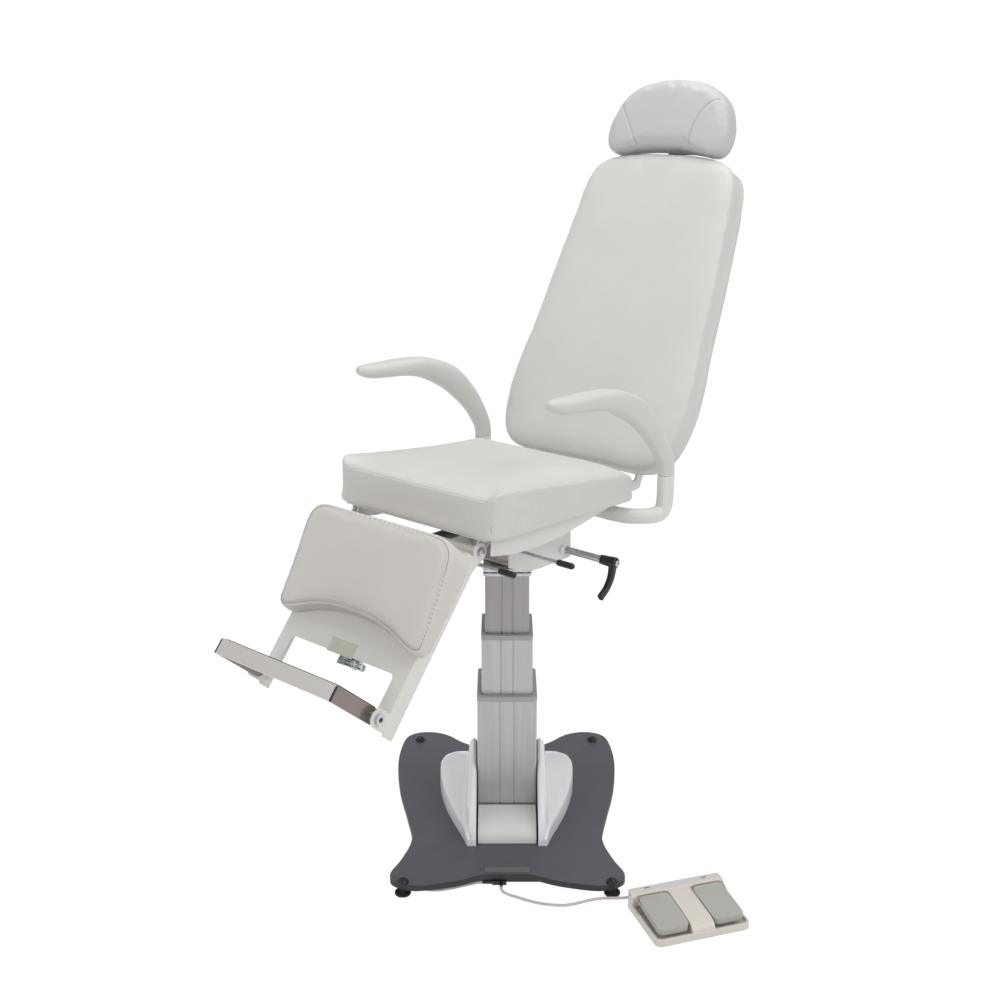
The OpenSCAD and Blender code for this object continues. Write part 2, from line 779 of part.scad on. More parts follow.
// Moulded shell: an outer and an inner skin joined along the rim on the plate
module side_cover() {
    m = len(cover_places);
    n = len(fin_profile) + len(lobe_run_shares);
    all = m * n;
    skins = [for (w = [0, cover_wall]) each [for (j = [0:m - 1], k = [0:n - 1]) cover_point(j, k, w)]];
    outer = [for (j = [0:m - 2], k = [0:n - 2]) let(a = j * n + k)
        each [[a, a + n, a + 1], [a + 1, a + n, a + n + 1]]];
    inner = [for (f = outer) [f[0] + all, f[2] + all, f[1] + all]];
    front = [for (k = [0:n - 3]) [n - 1, k, k + 1]];
    rear = [for (k = [0:n - 3]) [all - 1, all - n + k + 1, all - n + k]];
    ends = concat(front, rear);
    inner_ends = [for (f = ends) [f[0] + all, f[2] + all, f[1] + all]];
    rim = concat([for (j = [0:m - 2]) let(a = j * n)
            each [[a, a + all, a + n], [a + n, a + all, a + n + all]]],
        [for (j = [0:m - 2]) let(a = j * n + n - 1)
            each [[a, a + n, a + all], [a + n, a + n + all, a + all]]],
        [[0, n - 1, all], [n - 1, all + n - 1, all]],
        [[all - n, 2 * all - n, all - 1], [all - 1, 2 * all - n, 2 * all - 1]]);
    polyhedron([for (p = skins) p], concat(outer, inner, ends, inner_ends, rim));
}

module cover_right() color([0.86, 0.86, 0.88]) side_cover();

module cover_left() color([0.86, 0.86, 0.88]) mirror([1, 0, 0]) side_cover();

// Quarter-round profile of the end covers, drawn in by w, in distance from the column and height
function end_profile(w) = concat([[0, 0]], [for (i = [0:end_cover_steps])
    let(a = 90 * (1 - i / end_cover_steps))
    [(end_cover_d - w) * pow(cos(a), 2 / end_cover_power),
        (end_cover_h - w) * pow(sin(a), 2 / end_cover_power)]]);

module end_covers() color([0.85, 0.84, 0.82]) for (turn = [0, 180]) rotate([0, 0, turn])
    translate([0, -outer_d / 2 - end_cover_gap, plate_top]) mirror([0, 1, 0]) difference() {
        plate_x(-end_cover_w / 2, end_cover_w) polygon(end_profile(0));
        translate([0, -cut, -cut]) plate_x(-end_cover_w / 2 + cover_wall, end_cover_w - 2 * cover_wall)
            polygon(end_profile(cover_wall));
    }

// Lifting column

module grooved_2d(w, d, r) difference() {
    rounded_2d(w, d, r);
    for (x = [-1, 1], y = [-1, 1]) {
        translate([x * w * groove_span_share / 2, y * d / 2]) square([groove_w, 2 * groove_d], center = true);
        translate([x * w / 2, y * d * groove_span_share / 2]) square([2 * groove_d, groove_w], center = true);
    }
}

module column_tube(w, d, bottom, top) translate([0, 0, bottom]) linear_extrude(top - bottom)
    difference() {
        grooved_2d(w, d, tube_corner);
        rounded_2d(w - 2 * tube_wall, d - 2 * tube_wall, tube_corner - tube_wall / 2);
    }

// Plastic glide collar: a rim on the tube's top and a skirt that guides the next tube
module glide_collar(w, d, next_w, next_d, top) difference() {
    union() {
        translate([0, 0, top]) rounded_block(w + 2 * collar_lip, d + 2 * collar_lip, collar_h,
            tube_corner + collar_lip);
        translate([0, 0, top - collar_skirt]) rounded_block(w - 2 * tube_wall - 2 * run_gap,
            d - 2 * tube_wall - 2 * run_gap, collar_skirt + cut, tube_corner - tube_wall / 2);
    }
    translate([0, 0, top - collar_skirt - cut]) rounded_block(next_w + 2 * glide_gap,
        next_d + 2 * glide_gap, collar_skirt + collar_h + 2 * cut, tube_corner + glide_gap);
}

module column_outer_tube() color([0.7, 0.69, 0.7]) column_tube(outer_w, outer_d, plate_top, outer_top);

module outer_collar() color([0.45, 0.45, 0.46]) glide_collar(outer_w, outer_d, mid_w, mid_d, outer_top);

module column_mid_tube() color([0.68, 0.66, 0.67]) column_tube(mid_w, mid_d, mid_bottom, mid_top);

module mid_collar() color([0.45, 0.45, 0.46]) glide_collar(mid_w, mid_d, inner_w, inner_d, mid_top);

module column_inner_tube() color([0.6, 0.6, 0.61]) column_tube(inner_w, inner_d, inner_bottom, inner_top);

module lift_motor() color([0.2, 0.2, 0.22]) translate([0, 0, plate_top])
    rounded_block(motor_w, motor_d, motor_h, tube_corner);

module lift_screw() color([0.7, 0.7, 0.7]) translate([0, 0, plate_top + motor_h])
    cylinder(r = screw_r, h = screw_top - plate_top - motor_h);

module mid_screw_tube() color([0.65, 0.65, 0.66]) difference() {
    translate([0, 0, nut_plate_z]) {
        rounded_block(mid_w - 2 * tube_wall - 2 * glide_gap, mid_d - 2 * tube_wall - 2 * glide_gap,
            nut_plate_t, tube_corner - tube_wall / 2);
        cylinder(r = screw_tube_r, h = mid_top - nut_plate_z);
    }
    translate([0, 0, nut_plate_z - cut]) cylinder(r = screw_r + run_gap, h = mid_top - nut_plate_z + 2 * cut);
}

module push_tube() color([0.65, 0.65, 0.66]) difference() {
    translate([0, 0, inner_bottom]) cylinder(r = push_tube_r, h = inner_top - inner_bottom);
    translate([0, 0, inner_bottom - cut]) cylinder(r = screw_tube_r + run_gap,
        h = inner_top - inner_bottom + 2 * cut);
}

module column_top_plate() color([0.72, 0.73, 0.74]) {
    w = inner_w + 2 * top_plate_lip;
    d = inner_d + 2 * top_plate_lip;
    for (z = [top_plate_z, swivel_z - top_plate_t]) translate([0, 0, z])
        rounded_block(w, d, top_plate_t, tube_corner);
    for (x = [-1, 1], y = [-1, 1]) translate([x * (w / 2 - 2 * spacer_r), y * (d / 2 - 2 * spacer_r),
        top_plate_z + top_plate_t]) cylinder(r = spacer_r, h = top_plate_gap);
}

module swivel_spindle() color([0.75, 0.75, 0.76]) translate([0, 0, swivel_z]) {
    rise = thrust_t + hub_h + spindle_rise;
    cylinder(r = spindle_r, h = rise);
    translate([0, 0, rise]) cylinder(r = hub_r - spindle_flange_in, h = spindle_flange_h);
    translate([0, 0, rise + spindle_flange_h])
        cylinder(r = spindle_r + spindle_nut_lip, h = spindle_nut_h, $fn = hex_sides);
}

module thrust_washer() color([0.8, 0.65, 0.35]) seat_place() translate([0, 0, swivel_z + thrust_gap])
    difference() {
        cylinder(r = thrust_r, h = thrust_t + carrier_gap - thrust_gap);
        translate([0, 0, -cut]) cylinder(r = spindle_r + run_gap, h = thrust_t + 2 * cut);
    }

// Seat carrier, clamp, tray and cushion

// Side profile of the carrier: flat at the hub, rising to its nose in front
carrier_profile = [[0, carrier_z], [-carrier_slope_run / 2, carrier_z + carrier_rise[0]],
    [-carrier_slope_run, carrier_z + carrier_rise[1]], [-carrier_front, carrier_z + carrier_nose_z],
    [-carrier_front, tray_under(-carrier_front)], [carrier_rear, tray_under(carrier_rear)],
    [carrier_rear, carrier_z]];

module seat_carrier() color([0.9, 0.9, 0.92]) seat_place() difference() {
    union() {
        each_side() plate_x(carrier_half_w - carrier_t, carrier_t) polygon(carrier_profile);
        translate([-carrier_half_w + carrier_t, -carrier_slope_run / 2, carrier_z])
            cube([2 * (carrier_half_w - carrier_t), carrier_slope_run / 2 + carrier_rear, carrier_t]);
        translate([-carrier_half_w + carrier_t, carrier_rear - carrier_t, carrier_z])
            cube([2 * (carrier_half_w - carrier_t), carrier_t, hub_h + carrier_t]);
        translate([0, 0, carrier_z]) cylinder(r = hub_r, h = hub_h);
        translate([0, cross_rod_y, strut_z]) rod_x(cross_rod_r, -carrier_half_w + cut, carrier_half_w - cut);
        translate([0, clamp_y - clamp_bolt_out, clamp_z + clamp_bolt_up]) {
            rod_x(washer_r, carrier_half_w, carrier_half_w + washer_t);
            rotate([0, 90, 0]) translate([0, 0, carrier_half_w])
                cylinder(r = bolt_head_r, h = bolt_head_h, $fn = hex_sides);
        }
    }
    translate([0, 0, carrier_z - cut]) cylinder(r = spindle_r + run_gap, h = hub_h + 2 * cut);
    translate([0, clamp_y, clamp_z]) rod_x(clamp_rod_r + run_gap, carrier_half_w - carrier_t - cut,
        carrier_half_w + cut);
}

// Clamp rod with the brake shoe that bears on the swivel hub
module clamp_rod() color([0.62, 0.62, 0.63]) seat_place() {
    difference() {
        translate([-brake_w / 4, 0, clamp_z - brake_t / 2]) cube([brake_w, clamp_y + clamp_rod_r, brake_t]);
        cylinder(r = hub_r + seat_gap, h = seat_front_z);
    }
    translate([0, clamp_y, clamp_z]) {
        rod_x(clamp_rod_r, brake_w / 2, clamp_rod_end);
        rod_x(washer_r, clamp_rod_end - 2 * washer_t, clamp_rod_end);
        rod_x(clamp_stud_r, clamp_rod_end - cut, clamp_stud_end);
    }
}

module clamp_handle() color([0.08, 0.08, 0.09]) seat_place() translate([0, clamp_y, clamp_z]) difference() {
    union() {
        rod_x(handle_hub_r, handle_start, handle_end);
        rod_x(button_r, handle_end, handle_end + button_h);
        hull() {
            rod_x(handle_root_r, handle_arm_x, handle_arm_x + handle_arm_t, $fn = hull_facets);
            translate([0, handle_bend_y, handle_bend_z])
                rod_x(handle_tip_r, handle_arm_x, handle_arm_x + handle_arm_t, $fn = hull_facets);
        }
        hull() {
            translate([0, handle_bend_y, handle_bend_z])
                rod_x(handle_tip_r, handle_arm_x, handle_arm_x + handle_arm_t, $fn = hull_facets);
            translate([0, handle_reach_y, handle_reach_z])
                rod_x(handle_tip_r, handle_arm_x, handle_arm_x + handle_arm_t, $fn = hull_facets);
        }
    }
    rod_x(clamp_stud_r + run_gap, handle_start - cut, clamp_stud_end + cut);
}

// Folded sheet tray with curved side walls, hinge ears and pads for the armrest brackets
module seat_tray() color([0.88, 0.88, 0.88]) {
    seat_plane() {
        translate([-tray_half_w, tray_front, -tray_t])
            cube([2 * tray_half_w, seat_len - tray_front - tray_rear, tray_t]);
        each_side() plate_x(tray_half_w - tray_t, tray_t) polygon(scaled(tray_shares, seat_len, tray_d));
    }
    seat_place() {
        each_side() plate_x(ear_x, ear_t) tray_ear(-leg_hinge_front, leg_hinge_z);
        each_side() plate_x(back_ear_x, ear_t) tray_ear(back_hinge_y, back_hinge_z);
        each_side() arm_pad();
    }
}

// Hinge ear: a round eye joined to a foot under the tray
module tray_ear(y, z) {
    inward = y > 0 ? -1 : 1;
    foot_y = y + inward * (ear_r + ear_foot);
    foot_z = tray_under(foot_y);
    near_y = y + inward * ear_r / 2;
    difference() {
        union() {
            translate([y, z]) circle(ear_r);
            polygon([[y, z - ear_r], [foot_y, foot_z - ear_r / 2], [foot_y, foot_z + cut],
                [near_y, tray_under(near_y) + (y > 0 ? -tray_t : cut)], [y, z + ear_r]]);
        }
        translate([y, z]) circle(bolt_r + run_gap);
    }
}

bracket_end = bracket_path_shares[len(bracket_path_shares) - 1];
bracket_end_y = post_y - bracket_reach * bracket_end[1];
arm_pad_z = post_joint_z - bracket_drop * bracket_end[2] + bracket_half_w + seat_gap;

module arm_pad() translate([post_x * bracket_end[0], bracket_end_y - arm_pad_w / 2, arm_pad_z])
    cube([arm_pad_len, arm_pad_w, tray_under(bracket_end_y + arm_pad_w / 2) + cut - arm_pad_z]);

// Rounded rectangle as a loop of points
function loop(hx, y0, y1, r, k) = let(corners = [[1, 0, -90], [1, 1, 0], [-1, 1, 90], [-1, 0, 180]])
    [for (c = corners, i = [0:k]) let(a = c[2] + 90 * i / k)
        [c[0] * (hx - r) + r * cos(a), (c[1] == 0 ? y0 + r : y1 - r) + r * sin(a)]];

// The seat's upper face: crowned, scooped at the middle of the front edge, lower at the rear
function seat_top(x, y) = let(s = y / seat_len, side = 2 * x / seat_w)
    seat_t - seat_dip * (1 - pow(abs(side), seat_dip_power)) * pow(max(0, 1 - s / seat_dip_share), 2)
        - seat_rear_drop * pow(max(0, (s - seat_drop_share) / (1 - seat_drop_share)), seat_drop_power);

module seat_cushion() color([0.84, 0.835, 0.82]) seat_plane() translate([0, 0, seat_gap])
    cushion(seat_outline(), [0, seat_len / 2], cushion_rows, function(x, y) seat_top(x, y));

// Corners joined by extra points along the sides, so that the faces stay even
function seat_outline() = let(k = seat_corner_steps, c = loop(seat_w / 2, 0, seat_len, seat_corner, k),
    n = len(c)) [for (i = [0:n - 1]) each (i % (k + 1) < k ? [c[i]]
        : [for (j = [0:seat_side_steps - 1]) c[i] + (c[(i + 1) % n] - c[i]) * j / seat_side_steps])];

module lever_bracket(y, z) translate([lever_pivot_x, y, z]) {
    top = tray_under(y + lever_hang) - z;
    translate([-lever_hang, lever_boss_w / 2 + lever_plate_gap, -lever_hang])
        cube([2 * lever_hang, lever_plate_t, top + lever_hang]);
    rod_y(lever_pin_r, -lever_boss_w / 2 - lever_pin_head, lever_boss_w / 2 + lever_plate_t);
}

module lever_brackets() color([0.72, 0.73, 0.74]) seat_place() {
    lever_bracket(leg_lever_y, leg_lever_z);
    lever_bracket(back_lever_y, back_lever_z);
}

module lever_rod(y, z, end) seat_place() translate([0, y, z]) difference() {
    union() {
        rod_x(lever_r, lever_start, end);
        translate([lever_pivot_x, 0, 0]) rod_y(lever_boss_r, -lever_boss_w / 2, lever_boss_w / 2);
    }
    translate([lever_pivot_x, 0, 0]) rod_y(lever_pin_r + run_gap, -lever_boss_w, lever_boss_w);
}

module lever_grip(y, z, rod_end, end) seat_place() translate([0, y, z]) difference() {
    union() {
        rod_x(grip_r, end - grip_len, end - grip_r);
        translate([end - grip_r, 0, 0]) sphere(grip_r);
        rod_x(grip_r - grip_collar_in, end - grip_len - grip_collar_len, end - grip_len + cut);
    }
    rod_x(lever_r + run_gap / 2, end - grip_len - grip_collar_len - cut, rod_end + run_gap);
}

module leg_lever_rod() color([0.7, 0.68, 0.66]) lever_rod(leg_lever_y, leg_lever_z, leg_lever_end);

module leg_lever_grip() color([0.08, 0.08, 0.09])
    lever_grip(leg_lever_y, leg_lever_z, leg_lever_end, leg_grip_end);

module back_lever_rod() color([0.7, 0.68, 0.66]) lever_rod(back_lever_y, back_lever_z, back_lever_end);

module back_lever_grip() color([0.08, 0.08, 0.09])
    lever_grip(back_lever_y, back_lever_z, back_lever_end, back_grip_end);

// Bolts of the leg rest hinge and of the recline hinge
module hinge_bolt(inner, outer) {
    rod_x(bolt_r, inner, outer);
    rod_x(washer_r, outer, outer + washer_t);
    translate([outer, 0, 0]) rotate([0, 90, 0]) cylinder(r = bolt_head_r, h = bolt_head_h, $fn = hex_sides);
}

module hinge_bolts() color([0.75, 0.76, 0.78]) seat_place() each_side() {
    translate([0, -leg_hinge_front, leg_hinge_z]) hinge_bolt(ear_x - bolt_grip, leg_half_w + seat_gap);
    translate([0, back_hinge_y, back_hinge_z]) hinge_bolt(back_arm_x - bolt_grip, back_ear_x + ear_t);
}

// Locking struts

// Cylinder along Y with an eye on the cross rod and a bore for its rod
module strut_cylinder(x, far_y) seat_place() translate([x, cross_rod_y, strut_z]) {
    run = far_y - cross_rod_y;
    turn = run > 0 ? 0 : 180;
    length = abs(run);
    rotate([0, 0, turn]) difference() {
        union() {
            rod_x(strut_eye_r, -strut_eye_w / 2, strut_eye_w / 2);
            rod_y(strut_r, strut_eye_r - strut_root, length);
        }
        rod_x(cross_rod_r + run_gap, -strut_eye_w, strut_eye_w);
        rod_y(strut_rod_r + run_gap, length * (1 - strut_bore_share), length + cut);
    }
}

// Rod with a slotted head round the crank pin, which the head pushes along Y
module strut_rod(x, pin_y, far_y) seat_place() translate([x, pin_y, strut_z]) {
    turn = pin_y > far_y ? 0 : 180;
    inside = abs(pin_y - far_y) + abs(far_y - cross_rod_y) * strut_bore_share * strut_rod_share;
    rotate([0, 0, turn]) difference() {
        union() {
            translate([-head_thick / 2, -head_len / 2, -head_tall / 2])
                cube([head_thick, head_len, head_tall]);
            rod_y(strut_rod_r, -inside, 0);
        }
        plate_x(-head_thick, 2 * head_thick)
            link_2d([[0, -slot_run / 2], [0, slot_run / 2]], crank_pin_r + slot_play);
    }
}

module back_strut_cylinder() color([0.16, 0.17, 0.2]) strut_cylinder(strut_x, back_cyl_rear);

module leg_strut_cylinder() color([0.16, 0.17, 0.2]) strut_cylinder(-strut_x, leg_cyl_front);

module back_strut_rod() color([0.75, 0.76, 0.78]) strut_rod(strut_x, back_pin_y, back_cyl_rear);

module leg_strut_rod() color([0.75, 0.76, 0.78]) strut_rod(-strut_x, leg_pin_y, leg_cyl_front);

// Two crank plates and their pin, hanging straight down from a hinge tube at mid travel
module crank(x, turn) translate([x, 0, 0]) rotate([turn, 0, 0]) {
    for (side = [-1, 1]) plate_x(side * (crank_gap + crank_t) / 2 - crank_t / 2, crank_t)
        link_2d([[0, 0], [0, -crank_r]], crank_plate_r);
    translate([0, 0, -crank_r]) rod_x(crank_pin_r, -crank_gap / 2 - crank_t, crank_gap / 2 + crank_t);
}

// Armrests and their brackets

bracket_points = [for (s = bracket_path_shares) [post_x * s[0], post_y - bracket_reach * s[1],
    post_joint_z - bracket_drop * s[2]]];

module arm_bracket() {
    n = len(bracket_points);
    skin(swept(bracket_points, [1, 0, 0], even(bracket_half_w, n),
        [for (i = [0:n - 1]) bracket_half_d + (bracket_half_w - bracket_half_d)
            * min(1, max(0, i - bracket_straight) / bracket_ease)], bracket_sides, armrest_power));
    translate([post_x, post_y, post_joint_z - cut]) cylinder(r = arm_pin_r, h = arm_pin_h + cut);
}

module arm_bracket_left() color([0.88, 0.88, 0.88]) seat_place() arm_bracket();

module arm_bracket_right() color([0.88, 0.88, 0.88]) seat_place() mirror([1, 0, 0]) arm_bracket();

// Rings kept above a level, which makes the first one a flat end
function above(rings, z) = [for (ring = rings) [for (p = ring) [p[0], p[1], max(p[2], z)]]];

module armrest() difference() {
    let(places = open_curve(armrest_shares, armrest_steps), path = [for (s = places) [post_x,
        post_y - (post_y + armrest_tip) * s[0],
        post_joint_z + arm_joint_gap + (armrest_top_z - post_joint_z) * s[1]]])
        skin(above(swept(path, [1, 0, 0], [for (s = places) armrest_w * s[3] / 2],
            [for (s = places) armrest_thick * s[2] / 2], armrest_sides, armrest_power),
            post_joint_z + arm_joint_gap));
    translate([post_x, post_y, post_joint_z - cut])
        cylinder(r = arm_pin_r + run_gap, h = arm_pin_h + 2 * cut);
}

module armrest_left() color([0.84, 0.84, 0.84]) seat_place() armrest();

module armrest_right() color([0.84, 0.84, 0.84]) seat_place() mirror([1, 0, 0]) armrest();

// Backrest

module back_frame() color([0.85, 0.85, 0.86]) back_place() {
    difference() {
        union() {
            each_side() plate_x(back_arm_x, arm_plate_t)
                bent_link_2d([[0, 0], [back_arm_w, back_arm_low], [back_arm_w, back_arm_high]], back_arm_r);
            rod_x(back_tube_r, -back_arm_x - cut, back_arm_x + cut);
            crank(strut_x, back_crank_turn);
        }
        each_side() rod_x(bolt_r + run_gap, back_arm_x - bolt_grip - cut, back_arm_x + arm_plate_t + cut);
    }
    for (z = [back_rail_low, back_arm_high]) translate([0, back_arm_w, z])
        rod_x(back_rail_r, -back_arm_x - cut, back_arm_x + cut);
    translate([-spine_w / 2, board_back + seat_gap, back_rail_low])
        cube([spine_w, spine_t, spine_top - back_rail_low]);
}

back_outline = closed_curve(both_halves(scaled(back_shares, back_w / 2, back_len, back_bottom)),
    outline_steps);

module back_board() color([0.8, 0.8, 0.8]) back_place() translate([0, board_back, 0]) rotate([90, 0, 0])
    linear_extrude(board_t) polygon([for (p = back_outline) let(c = [0, back_bottom + back_len / 2])
        c + (p - c) * board_inset_share]);

module back_cushion() color([0.8, 0.8, 0.79]) back_place()
    translate([0, board_back - board_t - seat_gap, 0]) rotate([90, 0, 0])
    cushion(back_outline, [0, back_bottom + back_len * back_centre_share], cushion_rows,
        function(x, y) back_t);

module headrest_guide() color([0.12, 0.12, 0.13]) back_place()
    translate([0, stem_w_place, guide_low]) linear_extrude(guide_high - guide_low) difference() {
        rounded_2d(guide_w, guide_d, guide_corner);
        square([stem_w + 2 * run_gap, stem_t + 2 * run_gap], center = true);
    }

// Headrest

module headrest_stem() color([0.75, 0.76, 0.78]) {
    back_place() plate_x(-stem_w / 2, stem_w)
        bent_link_2d([[stem_w_place, stem_low], [stem_w_place, stem_bend], stem_upper], stem_t / 2);
    head_place() {
        translate([0, head_t + seat_gap + head_plate_t, head_plate_low + head_plate_h / 2]) rotate([90, 0, 0])
            rounded_block(head_plate_w, head_plate_h, head_plate_t, head_plate_corner);
        translate([-head_web_w / 2, head_t + seat_gap + head_plate_t - cut, head_web_low])
            cube([head_web_w, stem_t + cut, head_plate_h / 2]);
        translate([0, head_lever_back, head_lever_low]) {
            difference() {
                translate([-head_web_w / 2, -head_block_t / 2, -head_block_t / 2])
                    cube([head_web_w / 2 + head_block_end, head_block_t, 2 * head_block_t]);
                rod_x(head_lever_r + run_gap, head_lever_x - cut, head_block_end + cut);
            }
        }
    }
}

head_outline = closed_curve(both_halves(scaled(head_shares, head_w / 2, head_h)), outline_steps);

module headrest_cushion() color([0.77, 0.765, 0.76]) head_place() translate([0, head_t, 0])
    rotate([90, 0, 0]) cushion(head_outline, [0, head_h * head_centre_share], cushion_rows,
        function(x, y) head_t * head_crown_share);

module headrest_lever() color([0.08, 0.08, 0.09]) head_place()
    translate([0, head_lever_back, head_lever_low]) {
        rod_x(head_lever_r, head_lever_x, head_lever_end);
        rod_x(head_tip_r, head_lever_end, head_lever_end + head_tip_len);
    }

// Leg rest

// Side wall of the leg frame: hinge eye, flange along the frame and lug for the foot plate
module leg_wall_2d() {
    front = leg_face;
    difference() {
        union() {
            circle(leg_ear_r);
            polygon([[leg_back, -leg_sheet_top], [-front, -leg_sheet_top - leg_sheet_step],
                [-front, -leg_len + window_corner], [-front + window_corner, -leg_len],
                [leg_back, -leg_len]]);
            polygon([[leg_back, 0], [leg_ear_r, 0], [leg_back, -leg_gusset_low],
                [-leg_ear_r, -leg_gusset_front]]);
            link_2d([[-foot_pivot_n, -foot_pivot_u], [-front / 2, -foot_pivot_u]], lug_r);
        }
        circle(bolt_r + run_gap);
        translate([-foot_pivot_n, -foot_pivot_u]) circle(foot_bolt_r + run_gap);
    }
}

module leg_window() {
    corner_x = window_half_w - window_corner;
    translate([-window_half_w, -leg_len - cut])
        square([2 * window_half_w, leg_len + cut - window_top - window_corner]);
    translate([-corner_x, -leg_len]) square([2 * corner_x, leg_len - window_top]);
    for (x = [-1, 1]) translate([x * corner_x, -window_top - window_corner]) circle(window_corner);
}

module leg_rib(x) plate_x(x - leg_rib_t / 2, leg_rib_t) polygon([[0, leg_tube_r - leg_rib_in],
    [-leg_face + leg_t / 2, -leg_sheet_top - leg_rib_in], [-leg_face + leg_t / 2, -leg_rib_low],
    [0, leg_rib_in - leg_tube_r]]);

module leg_frame() color([0.86, 0.85, 0.84]) leg_place() {
    each_side() plate_x(leg_half_w - leg_t, leg_t) leg_wall_2d();
    translate([0, -leg_face + leg_t, 0]) rotate([90, 0, 0]) linear_extrude(leg_t) difference() {
        translate([-leg_half_w + cut, -leg_len + window_corner])
            square([2 * (leg_half_w - cut), leg_len - window_corner - leg_sheet_top - leg_sheet_step]);
        leg_window();
    }
    difference() {
        rod_x(leg_tube_r, -ear_x + leg_tube_in, ear_x - leg_tube_in);
        each_side() rod_x(bolt_r + run_gap, ear_x - bolt_grip - cut, ear_x);
    }
    each_side() leg_rib(rib_x);
    for (side = [-1, 1]) leg_rib(-strut_x + side * (crank_gap + crank_t) / 2);
    crank(-strut_x, leg_crank_turn);
}

calf_outline = [for (p = closed_curve(both_halves(scaled(calf_shares, calf_half_w, calf_bottom - calf_top)),
    outline_steps)) p + [0, -calf_bottom]];

// Thickness of the wedge-shaped calf pad at a place down the frame
function calf_thick(y) = let(s = (-y - calf_top) / (calf_bottom - calf_top))
    calf_bottom_t + (calf_top_t - calf_bottom_t)
        * (calf_taper_shares[0] * (1 - s) + calf_taper_shares[1] * pow(1 - s, 2));

module calf_pad() color([0.8, 0.79, 0.78]) leg_place() translate([0, -leg_face - seat_gap, 0])
    rotate([90, 0, 0]) cushion(calf_outline,
        [0, -calf_bottom + (calf_bottom - calf_top) * calf_centre_share], calf_rows,
        function(x, y) calf_thick(y));

// Roller catch under the window's top edge, which holds the folded foot plate
module foot_catch() color([0.75, 0.76, 0.78]) leg_place() translate([catch_x, 0, -window_top]) {
    translate([-catch_w / 2, -leg_face + leg_t, 0]) cube([catch_w, leg_t, catch_w / 2]);
    translate([-catch_w / 2, -leg_face + leg_t, -catch_r])
        cube([catch_w / 2, leg_face - 2 * leg_t, 2 * catch_r]);
    translate([0, -catch_r - leg_t, 0]) rod_x(catch_r, -catch_w / 4, catch_w / 2);
}

module foot_pivot_bolts() color([0.75, 0.76, 0.78]) leg_place() translate([0, -foot_pivot_n, -foot_pivot_u])
    each_side() {
        rod_x(foot_bolt_r, foot_half_w - foot_bolt_in, leg_half_w);
        rod_x(foot_bolt_head_r, leg_half_w, leg_half_w + foot_bolt_head_h);
        difference() {
            rod_x(foot_bolt_head_r, foot_half_w + run_gap, leg_half_w - leg_t - run_gap);
            rod_x(foot_bolt_r - cut, 0, leg_half_w);
        }
    }

// Foot plate: a polished sheet folded down along its lip and sides
module foot_plate() color([0.72, 0.71, 0.7]) leg_place() translate([0, -foot_pivot_n, -foot_pivot_u])
    difference() {
        union() {
            translate([-foot_half_w, -foot_reach, foot_flange / 2 - foot_sheet])
                cube([2 * foot_half_w, foot_reach + lug_r - foot_rear_in, foot_sheet]);
            translate([-foot_half_w, -foot_reach, -foot_flange / 2])
                cube([2 * foot_half_w, foot_sheet, foot_flange]);
            each_side() plate_x(foot_half_w - foot_sheet, foot_sheet) {
                translate([-foot_reach, -foot_flange / 2]) square([foot_reach, foot_flange]);
                intersection() {
                    circle(foot_flange / 2);
                    translate([-cut, -foot_flange]) square(2 * foot_flange);
                }
            }
        }
        rod_x(foot_bolt_r + run_gap, -leg_half_w, leg_half_w);
    }

module foot_tread() color([0.1, 0.1, 0.11]) leg_place()
    translate([0, -foot_pivot_n - foot_reach / 2 + tread_shift, -foot_pivot_u + foot_flange / 2])
    rounded_block(2 * (foot_half_w - tread_side), foot_reach - tread_shift, tread_t, tread_corner);

// Foot switch

module switch_housing() color([0.84, 0.82, 0.79]) switch_place() difference() {
    union() {
        rounded_block(switch_w, switch_d, switch_floor_t, switch_corner);
        difference() {
            rounded_block(switch_w, switch_d, switch_rim_h, switch_corner);
            translate([0, 0, switch_floor_t - cut])
                rounded_block(switch_w - 2 * switch_rim_t, switch_d - 2 * switch_rim_t, switch_h,
                    switch_inner_corner);
        }
        intersection() {
            rounded_block(switch_w, switch_d, switch_h, switch_corner);
            plate_x(-switch_w / 2, switch_w) switch_bar_2d();
        }
        plate_x(-bridge_w / 2, bridge_w) switch_bridge_2d();
    }
    translate([0, pedal_rod_y, pedal_rod_z]) rod_x(pedal_rod_r + run_gap, -switch_w, switch_w);
}

// Rear bar and centre bridge of the foot switch in side view
module switch_bar_2d() {
    back = switch_d / 2;
    front = back - switch_bar_d;
    translate([front, 0]) square([switch_bar_d, switch_h - bar_corner]);
    translate([front + bar_corner, switch_h - bar_rise])
        square([switch_bar_d - 2 * bar_corner, bar_rise]);
    for (y = [front + bar_corner, back - bar_corner]) translate([y, switch_h - bar_corner])
        circle(bar_corner);
}

module switch_bridge_2d() {
    back = switch_d / 2;
    root = back - switch_bar_d + cut;
    polygon(concat([for (p = bridge_nose) p - [back, 0]], [[root, switch_h - bridge_low], [root, 0]]));
}

module pedal(x) switch_place() translate([x, 0, 0]) difference() {
    union() {
        translate([0, pedal_rod_y + pedal_drop, pedal_rod_z + pedal_drop]) rotate([pedal_tilt, 0, 0])
            translate([0, -pedal_len / 2, 0]) rounded_block(pedal_w, pedal_len, pedal_t, pedal_corner);
        for (side = [-1, 1]) translate([side * (pedal_w / 2 - pedal_lug_w), pedal_rod_y, pedal_rod_z])
            plate_x(-pedal_lug_w / 2, pedal_lug_w) link_2d([[0, 0], [0, pedal_lug_r]], pedal_lug_r);
    }
    translate([0, pedal_rod_y, pedal_rod_z]) rod_x(pedal_rod_r + run_gap, -switch_w, switch_w);
}

module pedal_up() color([0.69, 0.69, 0.67]) pedal(-pedal_x);

module pedal_down() color([0.69, 0.69, 0.67]) pedal(pedal_x);

